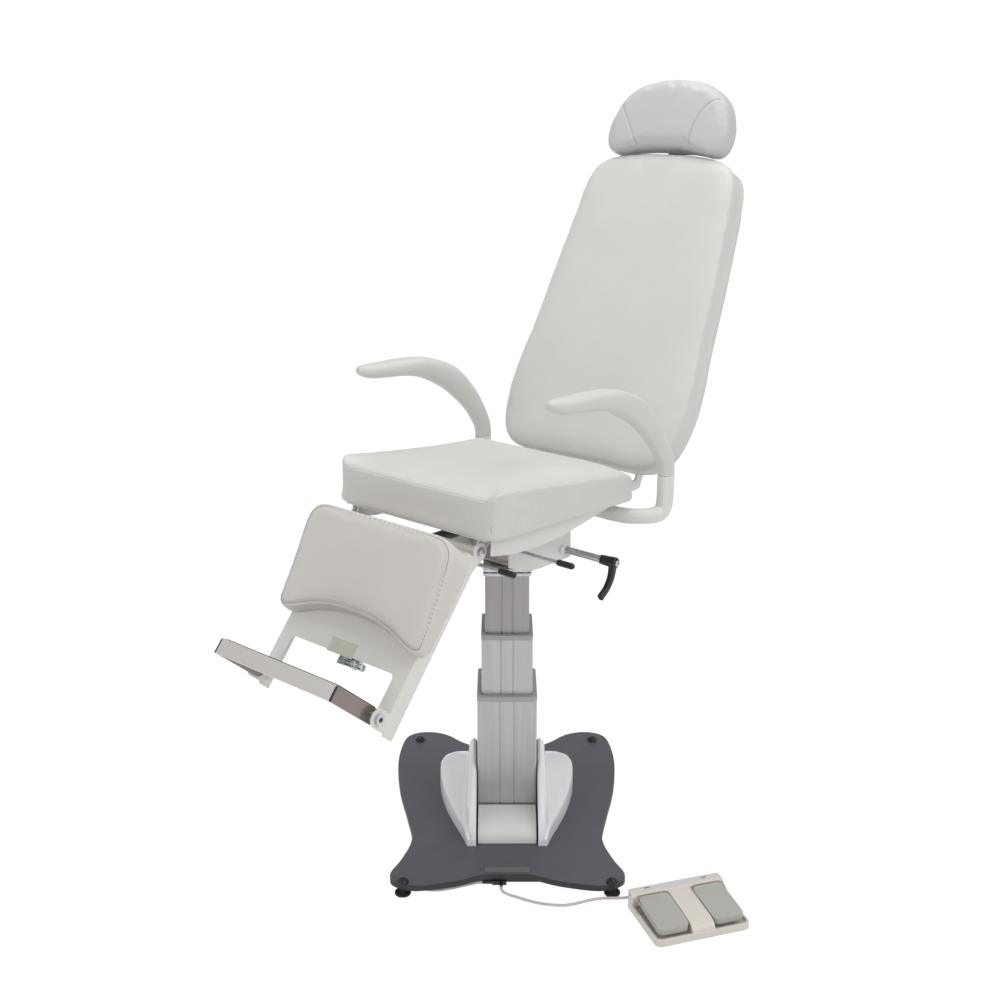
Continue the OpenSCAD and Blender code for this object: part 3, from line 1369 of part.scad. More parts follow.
module pedal_rod() color([0.7, 0.7, 0.7]) switch_place() translate([0, pedal_rod_y, pedal_rod_z]) {
    end = switch_w / 2 - switch_rim_t - pedal_rod_in;
    rod_x(pedal_rod_r, -end, end);
}

// Socket panel and cords

module socket_panel() color([0.14, 0.14, 0.15]) {
    translate([-panel_w / 2, panel_y, foot_h - panel_h]) cube([panel_w, panel_d, panel_h]);
    translate([gland_x - gland_w / 2, panel_y - gland_d, foot_h - panel_h - gland_drop])
        cube([gland_w, gland_d + cut, panel_h]);
}

module cord(route, d) {
    path = open_curve(route, cord_steps);
    n = len(path);
    skin(swept(path, cross(path[1] - path[0], [0, 0, 1]), even(d / 2, n), even(d / 2, n), cord_sides));
}

module mains_cord() color([0.73, 0.7, 0.7]) cord(mains_route, mains_d);

module switch_cord() color([0.73, 0.7, 0.7]) cord(switch_route, switch_cord_d);

// The coil spirals in on the floor, climbs in half a turn, and spirals out on top
function coil_point(turn) = let(inner_r = coil_outer_r - coil_pitch * coil_turns,
    past = turn - coil_turns,
    r = past < 0 ? coil_outer_r - coil_pitch * turn
        : past < coil_climb_turns ? inner_r - coil_tuck * sin(360 * past)
        : inner_r + coil_pitch * (past - coil_climb_turns),
    climb = min(max(past / coil_climb_turns, 0), 1), a = 360 * turn)
    [coil_centre[0] - r * cos(a), coil_centre[1] + r * sin(a),
        mains_d / 2 + coil_lift + coil_pitch * (3 * climb * climb - 2 * climb * climb * climb)];

coil_count = round((coil_turns + coil_climb_turns + coil_top_turns) * coil_facets);
coil_end = coil_point(coil_count / coil_facets);
coil_tail = [coil_end[0], coil_end[1] - mains_d, coil_end[2] + coil_tail_rise];
plug_entry = [coil_end[0], coil_end[1] - plug_away, plug_r + plug_lift];
coil_path = concat([[coil_start[0], coil_start[1], mains_d / 2 + coil_lift]],
    [for (i = [0:coil_count]) coil_point(i / coil_facets)], [coil_tail,
    (coil_tail + plug_entry) / 2, plug_entry + [0, mains_d, 0], plug_entry]);
coil_least = min([for (i = [0:coil_probe_step:len(coil_path) - 2],
    j = [i + coil_facets / 2:1:len(coil_path) - 1]) norm(coil_path[i] - coil_path[j])]) - mains_d;

module mains_coil() color([0.73, 0.7, 0.7]) {
    n = len(coil_path);
    echo(least_gap_in_coil = coil_least);
    skin(swept(coil_path, [1, 0, 0], even(mains_d / 2, n), even(mains_d / 2, n), coil_sides));
}

module mains_plug() color([0.2, 0.2, 0.21]) translate(plug_entry) mirror([0, 1, 0]) {
    rotate([-90, 0, 0]) {
        cylinder(r1 = plug_neck_r, r2 = plug_r - plug_taper, h = plug_neck_len);
        translate([0, 0, plug_neck_len]) cylinder(r = plug_r, h = plug_len - plug_neck_len);
    }
    for (x = [-1, 1]) translate([x * plug_pin_span / 2, plug_len - cut, 0])
        rotate([-90, 0, 0]) cylinder(r = plug_pin_r, h = plug_pin_len + cut);
}

module relief(r0, r1, length, point, heading) translate(point) rotate([0, 0, heading]) rotate([0, 90, 0])
    cylinder(r1 = r0, r2 = r1, h = length);

module cord_reliefs() color([0.2, 0.2, 0.21]) {
    start = mains_route[0];
    exit = switch_route[0];
    relief(relief_r, mains_d / 2 + relief_lip, relief_len, start + [relief_len, 0, 0], 180);
    relief(switch_relief_r, switch_cord_d / 2 + relief_lip, switch_relief_len,
        exit + [0, switch_relief_len, 0], -90);
}

base_plate();
levelling_feet();
foot_caps();
cover_left();
cover_right();
end_covers();
column_outer_tube();
outer_collar();
lift_motor();
lift_screw();
socket_panel();
switch_housing();
pedal_rod();
switch_cord();
mains_cord();
mains_coil();
mains_plug();
cord_reliefs();
column_mid_tube();
mid_collar();
mid_screw_tube();
column_inner_tube();
push_tube();
column_top_plate();
swivel_spindle();
thrust_washer();
seat_carrier();
clamp_rod();
clamp_handle();
seat_tray();
seat_cushion();
arm_bracket_left();
arm_bracket_right();
hinge_bolts();
lever_brackets();
back_strut_cylinder();
leg_strut_cylinder();
back_strut_rod();
leg_strut_rod();
leg_lever_rod();
leg_lever_grip();
back_lever_rod();
back_lever_grip();
back_frame();
back_board();
back_cushion();
headrest_guide();
headrest_stem();
headrest_cushion();
headrest_lever();
armrest_left();
armrest_right();
leg_frame();
calf_pad();
foot_catch();
foot_pivot_bolts();
foot_plate();
foot_tread();
pedal_up();
pedal_down();
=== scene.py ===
"""Treatment chair on a lifting column: upholstery, finishes, cords and small fittings.

Lengths are in metres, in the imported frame: the origin is on the floor under the column's axis,
the floor plate's front looks along -Y, and +Z is up.
"""

import json
import math

import bmesh
import bpy
import numpy as np
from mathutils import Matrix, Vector
from mathutils.bvhtree import BVHTree


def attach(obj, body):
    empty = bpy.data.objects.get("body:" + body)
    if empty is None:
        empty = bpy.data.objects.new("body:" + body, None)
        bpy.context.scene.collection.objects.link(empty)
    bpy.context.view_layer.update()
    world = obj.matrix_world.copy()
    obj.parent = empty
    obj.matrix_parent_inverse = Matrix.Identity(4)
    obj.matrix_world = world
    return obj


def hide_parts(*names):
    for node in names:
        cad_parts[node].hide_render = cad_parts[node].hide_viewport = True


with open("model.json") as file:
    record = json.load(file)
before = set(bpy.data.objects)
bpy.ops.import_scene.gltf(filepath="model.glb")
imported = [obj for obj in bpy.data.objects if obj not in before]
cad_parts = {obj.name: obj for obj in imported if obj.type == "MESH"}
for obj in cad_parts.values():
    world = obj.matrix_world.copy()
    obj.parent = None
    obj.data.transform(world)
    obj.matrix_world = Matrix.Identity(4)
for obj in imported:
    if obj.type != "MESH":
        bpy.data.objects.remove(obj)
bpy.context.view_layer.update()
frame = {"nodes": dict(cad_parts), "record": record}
nodes = frame["nodes"]
body_with = {n: b for b, names in frame["record"]["behaviour"]["bodies"].items() for n in names}
scene = bpy.context.scene
MM = 0.001


# ---------------------------------------------------------------- places


def moved(x, y, z):
    """A shift, as a 4 x 4 matrix."""
    place = np.eye(4)
    place[:3, 3] = x, y, z
    return place


def turned(axis, degrees):
    """A turn about one axis, as a 4 x 4 matrix."""
    c, s = math.cos(math.radians(degrees)), math.sin(math.radians(degrees))
    place = np.eye(4)
    i, j = {"x": (1, 2), "y": (2, 0), "z": (0, 1)}[axis]
    place[i, i] = place[j, j] = c
    place[i, j], place[j, i] = -s, s
    return place


def at(place, points):
    """Points carried by a place."""
    return np.asarray(points, float) @ place[:3, :3].T + place[:3, 3]


SEAT = turned("z", -41)
SEAT_PLANE = SEAT @ moved(0, -0.318, 0.828) @ turned("x", -2.3)
BACK = SEAT @ moved(0, 0.205, 0.790) @ turned("x", -27.4)
HEAD = BACK @ moved(0, -0.025, 0.878) @ turned("x", 7.3)
LEG = SEAT @ moved(0, -0.306, 0.797) @ turned("x", -40)
SWITCH = moved(0.386, -0.424, 0) @ turned("z", 18)
STOOD_UP = turned("x", 90)


# ---------------------------------------------------------------- camera and light

CAMERA_PLACE = (-0.0166, -3.021, 1.7185)
CAMERA_PITCH, CAMERA_LENS, CAMERA_RISE, SENSOR_W = 78, 48.6, -0.115, 36
camera = bpy.data.objects.new("camera", bpy.data.cameras.new("camera"))
scene.collection.objects.link(camera)
camera.location = CAMERA_PLACE
camera.rotation_euler = (math.radians(CAMERA_PITCH), 0, 0)
camera.data.sensor_width = SENSOR_W
camera.data.lens = CAMERA_LENS
camera.data.shift_y = CAMERA_RISE
scene.camera = camera
scene.view_settings.view_transform = "Standard"


# ---------------------------------------------------------------- curves and surfaces


def spline(points, steps, closed=False):
    """Catmull-Rom curve through the points, with this many steps to a span."""
    p = np.asarray(points, float)
    n = len(p)
    i = np.arange(n if closed else n - 1)
    around = (lambda k: k % n) if closed else (lambda k: np.clip(k, 0, n - 1))
    a, b, c, d = (p[around(i + k)][:, None] for k in (-1, 0, 1, 2))
    t = (np.arange(steps) / steps)[None, :, None]
    curve = 0.5 * (2 * b + (c - a) * t + (2 * a - 5 * b + 4 * c - d) * t**2 + (3 * b - a - 3 * c + d) * t**3)
    curve = curve.reshape(-1, p.shape[1])
    return curve if closed else np.vstack([curve, p[-1:]])


def directions(path):
    """Unit tangents of a path, from the points on both sides."""
    t = np.gradient(path, axis=0)
    return t / np.linalg.norm(t, axis=1, keepdims=True)


def carried(path, side):
    """Side directions along a path, carried without twist."""
    tangents, out = directions(path), []
    for t in tangents:
        side = side - (side @ t) * t
        side = side / np.linalg.norm(side)
        out.append(side)
    return tangents, np.array(out)


def swept_rings(path, side, half_w, half_t, sides, power=2.0):
    """Rings along a path: each is a superellipse of half sizes half_w and half_t, squared by the power."""
    path = np.asarray(path, float)
    tangents, across = carried(path, np.asarray(side, float))
    up = np.cross(tangents, across)
    turn = np.arange(sides) * 2 * np.pi / sides
    c, s = np.cos(turn), np.sin(turn)
    x = np.sign(c) * np.abs(c) ** (2 / power)
    y = np.sign(s) * np.abs(s) ** (2 / power)
    half_w, half_t = np.broadcast_to(half_w, len(path)), np.broadcast_to(half_t, len(path))
    return (
        path[:, None]
        + across[:, None] * (half_w[:, None] * x)[..., None]
        + up[:, None] * (half_t[:, None] * y)[..., None]
    )


def skin(name, rings, closed_ends=True):
    """A mesh over a grid of rings, with a fan on each end ring, its faces turned outwards."""
    m, n = rings.shape[:2]
    points = rings.reshape(-1, 3)
    i, j = np.meshgrid(np.arange(m - 1), np.arange(n), indexing="ij")
    a, b = i * n + j, i * n + (j + 1) % n
    faces = np.stack([a, b, b + n, a + n], -1).reshape(-1, 4).tolist()
    if closed_ends:
        points = np.vstack([points, rings[0].mean(0), rings[-1].mean(0)])
        k = np.arange(n)
        after, last = (k + 1) % n, (m - 1) * n
        faces += np.stack([after, k, np.full(n, m * n)], -1).tolist()
        faces += np.stack([last + k, last + after, np.full(n, m * n + 1)], -1).tolist()
    return piece(name, points, faces)


def piece(name, points, faces, smooth=True):
    """A mesh object at the origin, with its normals outwards."""
    mesh = bpy.data.meshes.new(name)
    mesh.from_pydata(np.asarray(points, float).tolist(), [], faces)
    bm = bmesh.new()
    bm.from_mesh(mesh)
    bmesh.ops.recalc_face_normals(bm, faces=bm.faces)
    bm.to_mesh(mesh)
    bm.free()
    mesh.polygons.foreach_set("use_smooth", [smooth] * len(mesh.polygons))
    made = bpy.data.objects.new(name, mesh)
    scene.collection.objects.link(made)
    return made


def tube(name, path, radius, sides=12):
    """A round tube along a path."""
    first = np.asarray(path[1]) - np.asarray(path[0])
    side = np.cross(first, [0, 0, 1.0])
    if np.linalg.norm(side) < 1e-9:
        side = np.array([1.0, 0, 0])
    return skin(name, swept_rings(path, side, radius, radius, sides))


def turned_part(name, profile, place, sides=32):
    """A turned part: its profile, as radius and height, goes round the Z axis of its place."""
    profile = np.asarray(profile, float)
    a = np.arange(sides) * 2 * np.pi / sides
    rings = np.stack(
        [profile[:, :1] * np.cos(a), profile[:, :1] * np.sin(a), np.repeat(profile[:, 1:], sides, 1)], -1
    )
    return skin(name, at(place, rings))


def prism(name, outline, z0, z1, place, bevel=0.0):
    """A plate with this outline between two heights, with its edges bevelled."""
    outline = np.asarray(outline, float)
    n = len(outline)
    low = np.column_stack([outline, np.full(n, z0)])
    high = np.column_stack([outline, np.full(n, z1)])
    k = np.arange(n)
    walls = np.stack([k, (k + 1) % n, (k + 1) % n + n, k + n], -1).tolist()
    made = piece(name, at(place, np.vstack([low, high])), walls + [k[::-1].tolist(), (k + n).tolist()], False)
    if bevel:
        add_bevel(made, bevel)
    return made


def add_bevel(made, width, angle=30, segments=2):
    """A small rounding on the edges that are sharper than the angle."""
    rounding = made.modifiers.new("rounding", "BEVEL")
    rounding.width = width
    rounding.segments = segments
    rounding.limit_method = "ANGLE"
    rounding.angle_limit = math.radians(angle)
    rounding.harden_normals = True
    made.data.polygons.foreach_set("use_smooth", [True] * len(made.data.polygons))


def rounded_outline(w, d, r, steps=6):
    """A rectangle w by d about the origin, with round corners."""
    a = np.linspace(0, np.pi / 2, steps + 1)
    corners = [(1, 1, 0), (-1, 1, 1), (-1, -1, 2), (1, -1, 3)]
    return np.vstack(
        [
            np.column_stack(
                [
                    x * (w / 2 - r) + r * np.cos(a + q * np.pi / 2),
                    y * (d / 2 - r) + r * np.sin(a + q * np.pi / 2),
                ]
            )
            for x, y, q in corners
        ]
    )


# ---------------------------------------------------------------- finishes


def linear(r, g, b):
    """A colour written in the 0 to 255 scale of a screen, as the shader's own values."""
    c = np.array([r, g, b]) / 255
    return tuple(np.where(c <= 0.04045, c / 12.92, ((c + 0.055) / 1.055) ** 2.4)) + (1.0,)


class Finish:
    """A material on Object coordinates: colour drift, roughness drift and a fine relief."""

    def __init__(self, name, colour, rough, metallic=0.0):
        self.material = bpy.data.materials.new(name)
        self.material.use_nodes = True
        self.tree = self.material.node_tree
        self.shader = self.tree.nodes["Principled BSDF"]
        self.shader.inputs["Metallic"].default_value = metallic
        self.shader.inputs["Roughness"].default_value = rough
        self.shader.inputs["Base Color"].default_value = colour
        self.colour, self.rough = colour, rough
        self.colour_out = None
        self.height_out = None
        self.coords = self.node("ShaderNodeTexCoord").outputs["Object"]

    def node(self, kind, **values):
        """A node with its sockets or settings filled in."""
        made = self.tree.nodes.new(kind)
        for key, value in values.items():
            if key in made.inputs:
                made.inputs[key].default_value = value
            else:
                setattr(made, key, value)
        return made

    def join(self, a, b):
        """A link from one socket to another."""
        self.tree.links.new(a, b)

    def noise(self, scale, detail=3.0, stretch=(1, 1, 1)):
        """Noise of this many grains to the metre, stretched along an axis."""
        mapping = self.node("ShaderNodeMapping", Scale=stretch)
        self.join(self.coords, mapping.inputs["Vector"])
        made = self.node("ShaderNodeTexNoise", Scale=scale, Detail=detail)
        self.join(mapping.outputs["Vector"], made.inputs["Vector"])
        return made.outputs["Fac"]

    def cells(self, scale, feature="F1"):
        """Cells of this many to the metre, by distance to their middles."""
        made = self.node("ShaderNodeTexVoronoi", Scale=scale, feature=feature)
        self.join(self.coords, made.inputs["Vector"])
        return made.outputs["Distance"]

    def ramp(self, value, low, high, out_low=0.0, out_high=1.0):
        """A value taken from one range to another."""
        made = self.node("ShaderNodeMapRange")
        for key, number in zip(("From Min", "From Max", "To Min", "To Max"), (low, high, out_low, out_high)):
            made.inputs[key].default_value = number
        self.join(value, made.inputs["Value"])
        return made.outputs["Result"]

    def tint(self, share, colour):
        """The colour so far goes towards another by a share from a texture."""
        mix = self.node("ShaderNodeMix", data_type="RGBA")
        first = [s for s in mix.inputs if s.name == "A" and s.type == "RGBA"][0]
        second = [s for s in mix.inputs if s.name == "B" and s.type == "RGBA"][0]
        if self.colour_out is None:
            first.default_value = self.colour
        else:
            self.join(self.colour_out, first)
        second.default_value = colour
        self.join(share, mix.inputs["Factor"])
        self.colour_out = [s for s in mix.outputs if s.type == "RGBA"][0]
        self.join(self.colour_out, self.shader.inputs["Base Color"])
        return self

    def polish(self, share, low, high):
        """Roughness that drifts between two values."""
        self.join(self.ramp(share, 0.3, 0.7, low, high), self.shader.inputs["Roughness"])
        return self

    def relief(self, height, depth, strength=1.0):
        """A fine relief of this depth in metres, added to what is there."""
        bump = self.node("ShaderNodeBump", Strength=strength, Distance=depth)
        self.join(height, bump.inputs["Height"])
        if self.height_out is not None:
            self.join(self.height_out, bump.inputs["Normal"])
        self.height_out = bump.outputs["Normal"]
        self.join(self.height_out, self.shader.inputs["Normal"])
        return self


def shade(colour, share):
    """A colour made darker or lighter by a share."""
    return tuple(min(1.0, c * share) for c in colour[:3]) + (1.0,)


def leather(name, colour, rough=0.46):
    """Coated upholstery cloth: pebbled grain, faint creases and an uneven sheen."""
    f = Finish(name, colour, rough)
    f.tint(f.ramp(f.noise(7.0, 4.0), 0.35, 0.7), shade(colour, 0.965))
    f.tint(f.ramp(f.noise(160.0, 2.0), 0.55, 0.8, 0.0, 0.5), shade(colour, 0.94))
    f.polish(f.noise(22.0, 3.0), rough - 0.05, rough + 0.06)
    f.relief(f.cells(950.0), 0.00012, 0.5)
    f.relief(f.noise(420.0, 3.0), 0.0001, 0.35)
    f.relief(f.noise(9.0, 2.0), 0.0012, 0.25)
    f.shader.inputs["Specular IOR Level"].default_value = 0.42
    return f.material


def painted(name, colour, rough=0.34, peel=0.00005, dust=0.0):
    """Sprayed or moulded surface with orange peel, a slow colour drift and specks of dust."""
    f = Finish(name, colour, rough)
    f.tint(f.ramp(f.noise(5.0, 3.0), 0.35, 0.7), shade(colour, 0.96))
    if dust:
        f.tint(f.ramp(f.cells(14.0), 0.012, 0.008, 0.0, dust), linear(214, 210, 206))
        f.tint(f.ramp(f.noise(600.0, 1.0), 0.68, 0.76, 0.0, dust * 0.35), shade(colour, 1.9))
    f.polish(f.noise(18.0, 3.0), rough - 0.04, rough + 0.06)
    f.relief(f.noise(260.0, 2.0), peel, 0.6)
    return f.material


def brushed(name, colour, rough, stretch, metallic=0.85, scratches=0.5):
    """Metal with fine drawn or brushed lines along one axis."""
    f = Finish(name, colour, rough, metallic)
    lines = f.noise(1.0, 4.0, stretch)
    f.tint(f.ramp(lines, 0.3, 0.72), shade(colour, 0.93))
    f.tint(f.ramp(f.noise(6.0, 3.0), 0.4, 0.75, 0.0, 0.6), shade(colour, 0.93))
    f.polish(lines, rough - 0.06, rough + 0.09)
    f.relief(lines, 0.00004, scratches)
    return f.material


def plated(name, colour, rough=0.24, patina=None):
    """Plated steel: small mirror-like drifts, with a faint second tone."""
    f = Finish(name, colour, rough, 0.95)
    f.tint(f.ramp(f.noise(90.0, 3.0), 0.42, 0.7, 0.0, 0.7), patina or shade(colour, 0.8))
    f.polish(f.noise(140.0, 2.0), rough - 0.07, rough + 0.12)
    f.relief(f.noise(500.0, 2.0), 0.00003, 0.4)
    return f.material


def moulded(name, colour, rough=0.42, grain=700.0):
    """Plastic or rubber with a sparked mould texture."""
    f = Finish(name, colour, rough)
    f.tint(f.ramp(f.noise(30.0, 3.0), 0.4, 0.7, 0.0, 0.8), shade(colour, 1.25))
    f.polish(f.noise(60.0, 3.0), rough - 0.05, rough + 0.08)
    f.relief(f.noise(grain, 2.0), 0.00005, 0.6)
    return f.material


UPHOLSTERY = leather("upholstery_light_grey", linear(208, 206, 202))
# Painted shade: the headrest takes a darker copy of the upholstery leather, for the shade on its face.
UPHOLSTERY_HEAD_PAINTED_SHADE = leather("upholstery_headrest_painted_shade", linear(193, 191, 191))
UPHOLSTERY_CALF = leather("upholstery_calf", linear(209, 205, 199))
SEAM_THREAD = moulded("seam_thread", linear(150, 146, 142), 0.7)
# Painted shade: a dark copy of the upholstery colour for the tube in each seam's groove, standing for the
# shade in it.
SEAM_PAINTED_SHADE = moulded("seam_painted_shade", linear(118, 114, 112), 0.75)
ARM_FOAM = painted("skinned_foam", linear(204, 205, 201), 0.42, 0.00009)
WHITE_PAINT = painted("white_powder_coat", linear(218, 216, 213), 0.36)
LEG_PAINT = painted("leg_rest_paint", linear(222, 219, 213), 0.36)
COVER_WHITE = painted("glossy_cover_white", linear(240, 239, 243), 0.14, 0.00002)
END_COVER = painted("end_cover_white", linear(228, 226, 223), 0.34)
BASE_PAINT = painted("base_dark_grey", linear(88, 86, 95), 0.42, 0.00007, 0.75)
# Painted shade: the base plate's side faces take a darker grey than its top, for the shade on them.
BASE_SIDE_PAINTED_SHADE = moulded("base_side_painted_shade", linear(40, 39, 43), 0.5)
BLACK_PLASTIC = moulded("black_plastic", linear(19, 19, 22), 0.36)
BLACK_RUBBER = moulded("black_rubber", linear(22, 22, 24), 0.7, 400.0)
COLUMN = brushed("anodised_column", linear(190, 187, 190), 0.4, (420, 420, 5), 0.75, 0.3)
# Painted shade: the inner column tube takes a darker copy of the column's anodised finish, for the shade that
# the seat casts on it.
COLUMN_INNER_PAINTED_SHADE = brushed("anodised_column_inner_painted_shade", linear(164, 160, 163), 0.42, (420, 420, 5), 0.75, 0.3)
COLLAR = painted("collar_grey", linear(172, 170, 172), 0.45)
STEEL = plated("bright_steel", linear(196, 196, 200), 0.3)
ZINC = plated("zinc_plating", linear(200, 204, 206), 0.26, linear(150, 172, 176))
DARK_METAL = moulded("dark_casting", linear(46, 48, 62), 0.5)
BRONZE = plated("bronze", linear(128, 118, 108), 0.4)
BOARD = painted("back_board_grey", linear(205, 204, 202), 0.45, 0.00012)
SWITCH_SHELL = painted("switch_shell", linear(214, 208, 199), 0.38)
SWITCH_LIP = moulded("switch_well", linear(168, 156, 144), 0.6)
PEDAL = painted("pedal_grey", linear(174, 174, 167), 0.55, 0.00004)
CORD_GREY = moulded("cord_sheath", linear(190, 181, 181), 0.5)
POLISHED = brushed("polished_foot_plate", linear(244, 240, 237), 0.18, (5, 900, 900), 0.85, 0.2)
# Painted reflection: the foot plate's end faces take a dark brown copy of the polished finish, for the dark
# floor mirrored in them.
FOOT_END_PAINTED_REFLECTION = brushed("foot_end_painted_reflection", linear(140, 129, 124), 0.22, (5, 900, 900), 0.55, 0.2)
PLATE_METAL = brushed("blank_plate", linear(150, 146, 142), 0.35, (6, 700, 700), 0.9)
STICKER = painted("blank_sticker", linear(200, 199, 186), 0.3, 0.00001)
LABEL = painted("switch_label_strip", linear(206, 207, 212), 0.3, 0.00001)
MARK = moulded("printed_mark", linear(66, 64, 64), 0.6)


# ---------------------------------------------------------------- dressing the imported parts


POINTS_APART, FLAT_WITHIN = 2e-6, 0.4


def dress(node, finish, bevel=0.0, angle=30, segments=2):
    """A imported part's own shape with joined faces, smooth curves and rounded edges, in its place."""
    bm = bmesh.new()
    bm.from_mesh(nodes[node].data)
    bmesh.ops.remove_doubles(bm, verts=bm.verts, dist=POINTS_APART)
    bmesh.ops.dissolve_limit(bm, angle_limit=math.radians(FLAT_WITHIN), verts=bm.verts, edges=bm.edges)
    for edge in bm.edges:
        edge.smooth = len(edge.link_faces) == 2 and edge.calc_face_angle(0) < math.radians(angle)
    mesh = bpy.data.meshes.new("dressed_" + node)
    bm.to_mesh(mesh)
    bm.free()
    mesh.polygons.foreach_set("use_smooth", [True] * len(mesh.polygons))
    made = bpy.data.objects.new("dressed_" + node, mesh)
    scene.collection.objects.link(made)
    if bevel:
        add_bevel(made, bevel, angle, segments)
    return finished(made, finish, body_with[node], node)


def finished(made, finish, body, *replaced, slot=None):
    """A piece with its material, on its body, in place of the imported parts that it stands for."""
    made.data.materials.clear()
    made.data.materials.append(finish)
    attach(made, body)
    if replaced:
        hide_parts(*replaced)
    return made


def faced(made, way, finish, least=-1, most=2):
    """A second finish on the faces whose normals lie this much along a way, forwards or backwards."""
    made.data.materials.append(finish)
    for face in made.data.polygons:
        if least < abs(face.normal.dot(way)) < most:
            face.material_index = 1


def repaint(finish, *names):
    """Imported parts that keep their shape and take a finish."""
    for name in names:
        holder = nodes[name]
        if holder.material_slots:
            for place in holder.material_slots:
                place.material = finish
        else:
            holder.data.materials.append(finish)


# ---------------------------------------------------------------- cords

MAINS_D, SWITCH_D = 0.0075, 0.006
MAINS_ROUTE = MM * np.array(
    [
        [-56, -303.5, 7], [-66, -304, 6.6], [-80, -308, 6], [-100, -314, 5], [-120, -321, 4.2],
        [-140, -326, 3.8], [-160, -329, 3.8], [-178, -327, 3.8], [-194, -318, 3.8], [-206, -302, 3.8],
        [-211, -280, 3.8], [-210, -250, 3.8], [-205, -215, 3.8], [-199, -175, 3.8], [-193, -130, 3.8],
        [-188, -85, 3.8], [-184, -40, 3.8], [-180, 5, 3.8], [-176, 50, 3.8], [-170, 95, 3.8],
        [-160, 140, 3.8], [-145, 180, 3.8], [-124, 214, 3.8], [-100, 242, 3.8], [-80, 268, 3.8],
        [-68, 296, 3.8], [-62, 325, 3.8], [-59, 352, 3.8], [-58, 380, 3.8], [-58, 406, 3.8],
        [-58, 432, 3.8],
    ]
)  # fmt: skip
SWITCH_ROUTE = MM * np.array(
    [
        [-14, -323, 6.5], [-14, -326, 6.5], [-14, -329, 6.3], [-12.5, -333, 5.2],
        [-8, -339, 3.9], [3, -347, 3.05], [20, -356, 3],
        [38, -366, 3], [56, -374, 3], [72, -380, 3], [90, -384, 3], [108, -386.5, 3],
        [126, -386.5, 3], [144, -382, 3], [162, -375, 3], [178, -368.5, 3], [194, -363.5, 3],
        [212, -360.5, 3], [231, -359.8, 3], [250, -359.4, 3], [266, -357.5, 4], [279, -355.5, 6],
        [288, -357, 8], [291.8, -361.8, 9], [294.1, -367.9, 9],
    ]
)  # fmt: skip
COIL_R, COIL_TURNS, COIL_TOP_TURNS, COIL_PITCH, COIL_TUCK = 0.042, 3.75, 3.25, 0.0082, 0.0016
COIL_START = np.array([-0.058, 0.4322])
PLUG_R, PLUG_REACH = 0.019, 0.040


def coil_path():
    """The stored turns: in on the floor, up in half a turn, out on top, then down to the plug."""
    outer = COIL_R + COIL_PITCH * COIL_TURNS / 2
    inner = outer - COIL_PITCH * COIL_TURNS
    turn = np.linspace(0, COIL_TURNS + 0.5 + COIL_TOP_TURNS, 360)
    over = turn - COIL_TURNS
    radius = np.where(
        over < 0,
        outer - COIL_PITCH * turn,
        np.where(over < 0.5, inner - COIL_TUCK * np.sin(2 * np.pi * over), inner + COIL_PITCH * (over - 0.5)),
    )
    climb = np.clip(over / 0.5, 0, 1)
    centre = COIL_START + [outer, MAINS_D]
    a = 2 * np.pi * turn
    turns = np.column_stack(
        [
            centre[0] - radius * np.cos(a),
            centre[1] + radius * np.sin(a),
            MAINS_D / 2 + 0.00005 + COIL_PITCH * (3 * climb**2 - 2 * climb**3),
        ]
    )
    end = turns[-1]
    tail = end + [0, -MAINS_D, 0.0006]
    entry = np.array([end[0], end[1] - PLUG_REACH, PLUG_R + 0.0002])
    drop = spline([end, tail, (tail + entry) / 2, entry + [0, MAINS_D, 0], entry], 8)[1:]
    return np.vstack([turns, drop])


def path_length(path):
    """The length of a path through its points."""
    return float(np.linalg.norm(np.diff(path, axis=0), axis=1).sum())


def lay_cord(name, path, diameter, body, replaced):
    """A cord along its path."""
    made = finished(tube(name, path, diameter / 2, 14), CORD_GREY, body, *replaced, slot="cord_grey")
    return made


mains_path = np.vstack([spline(MAINS_ROUTE, 6), coil_path()])
switch_path = spline(SWITCH_ROUTE, 6)
lay_cord(
    "mains_lead", mains_path, MAINS_D, "base",
    ["mains_cord", "mains_coil"],
)  # fmt: skip
lay_cord("switch_lead", switch_path, SWITCH_D, "base", ["switch_cord"])
print("cord lengths", path_length(mains_path), path_length(switch_path))


# ---------------------------------------------------------------- upholstery

ROWS = [
    [0.962, 0], [0.985, 0.05], [0.991, 0.18], [0.994, 0.4], [0.998, 0.62], [1, 0.78],
    [0.993, 0.89], [0.975, 0.96], [0.945, 0.995], [0.82, 1.015], [0.55, 1.035], [0.25, 1.05],
]  # fmt: skip
SEAT_ROWS = [
    [0.98, 0], [0.991, 0.03], [0.995, 0.12], [0.996, 0.4], [0.998, 0.65], [1, 0.85],
    [0.997, 0.935], [0.989, 0.975], [0.968, 0.996], [0.9, 1.0], [0.7, 1.008], [0.4, 1.014], [0.2, 1.016],
]  # fmt: skip
HEAD_ROWS = [
    [0.93, 0], [0.972, 0.07], [0.993, 0.22], [1, 0.42], [0.995, 0.62], [0.978, 0.78],
    [0.94, 0.9], [0.87, 0.975], [0.72, 1.025], [0.45, 1.055], [0.2, 1.065],
]  # fmt: skip
CALF_ROWS = [
    [0.975, 0], [0.99, 0.05], [0.996, 0.2], [0.992, 0.5], [0.996, 0.8], [1, 0.9],
    [0.99, 0.965], [0.97, 1], [0.93, 1.01], [0.7, 1.03], [0.4, 1.05], [0.2, 1.055],
]  # fmt: skip
BACK_SHARES = [
    [0, 0], [0.35, 0], [0.6, 0], [0.78, 0.014], [0.89, 0.047], [0.95, 0.09],
    [0.985, 0.15], [1, 0.212], [0.985, 0.31], [0.953, 0.4], [0.912, 0.6], [0.856, 0.8],
    [0.838, 0.87], [0.79, 0.93], [0.7, 0.966], [0.53, 0.988], [0.25, 0.999], [0, 1],
]  # fmt: skip
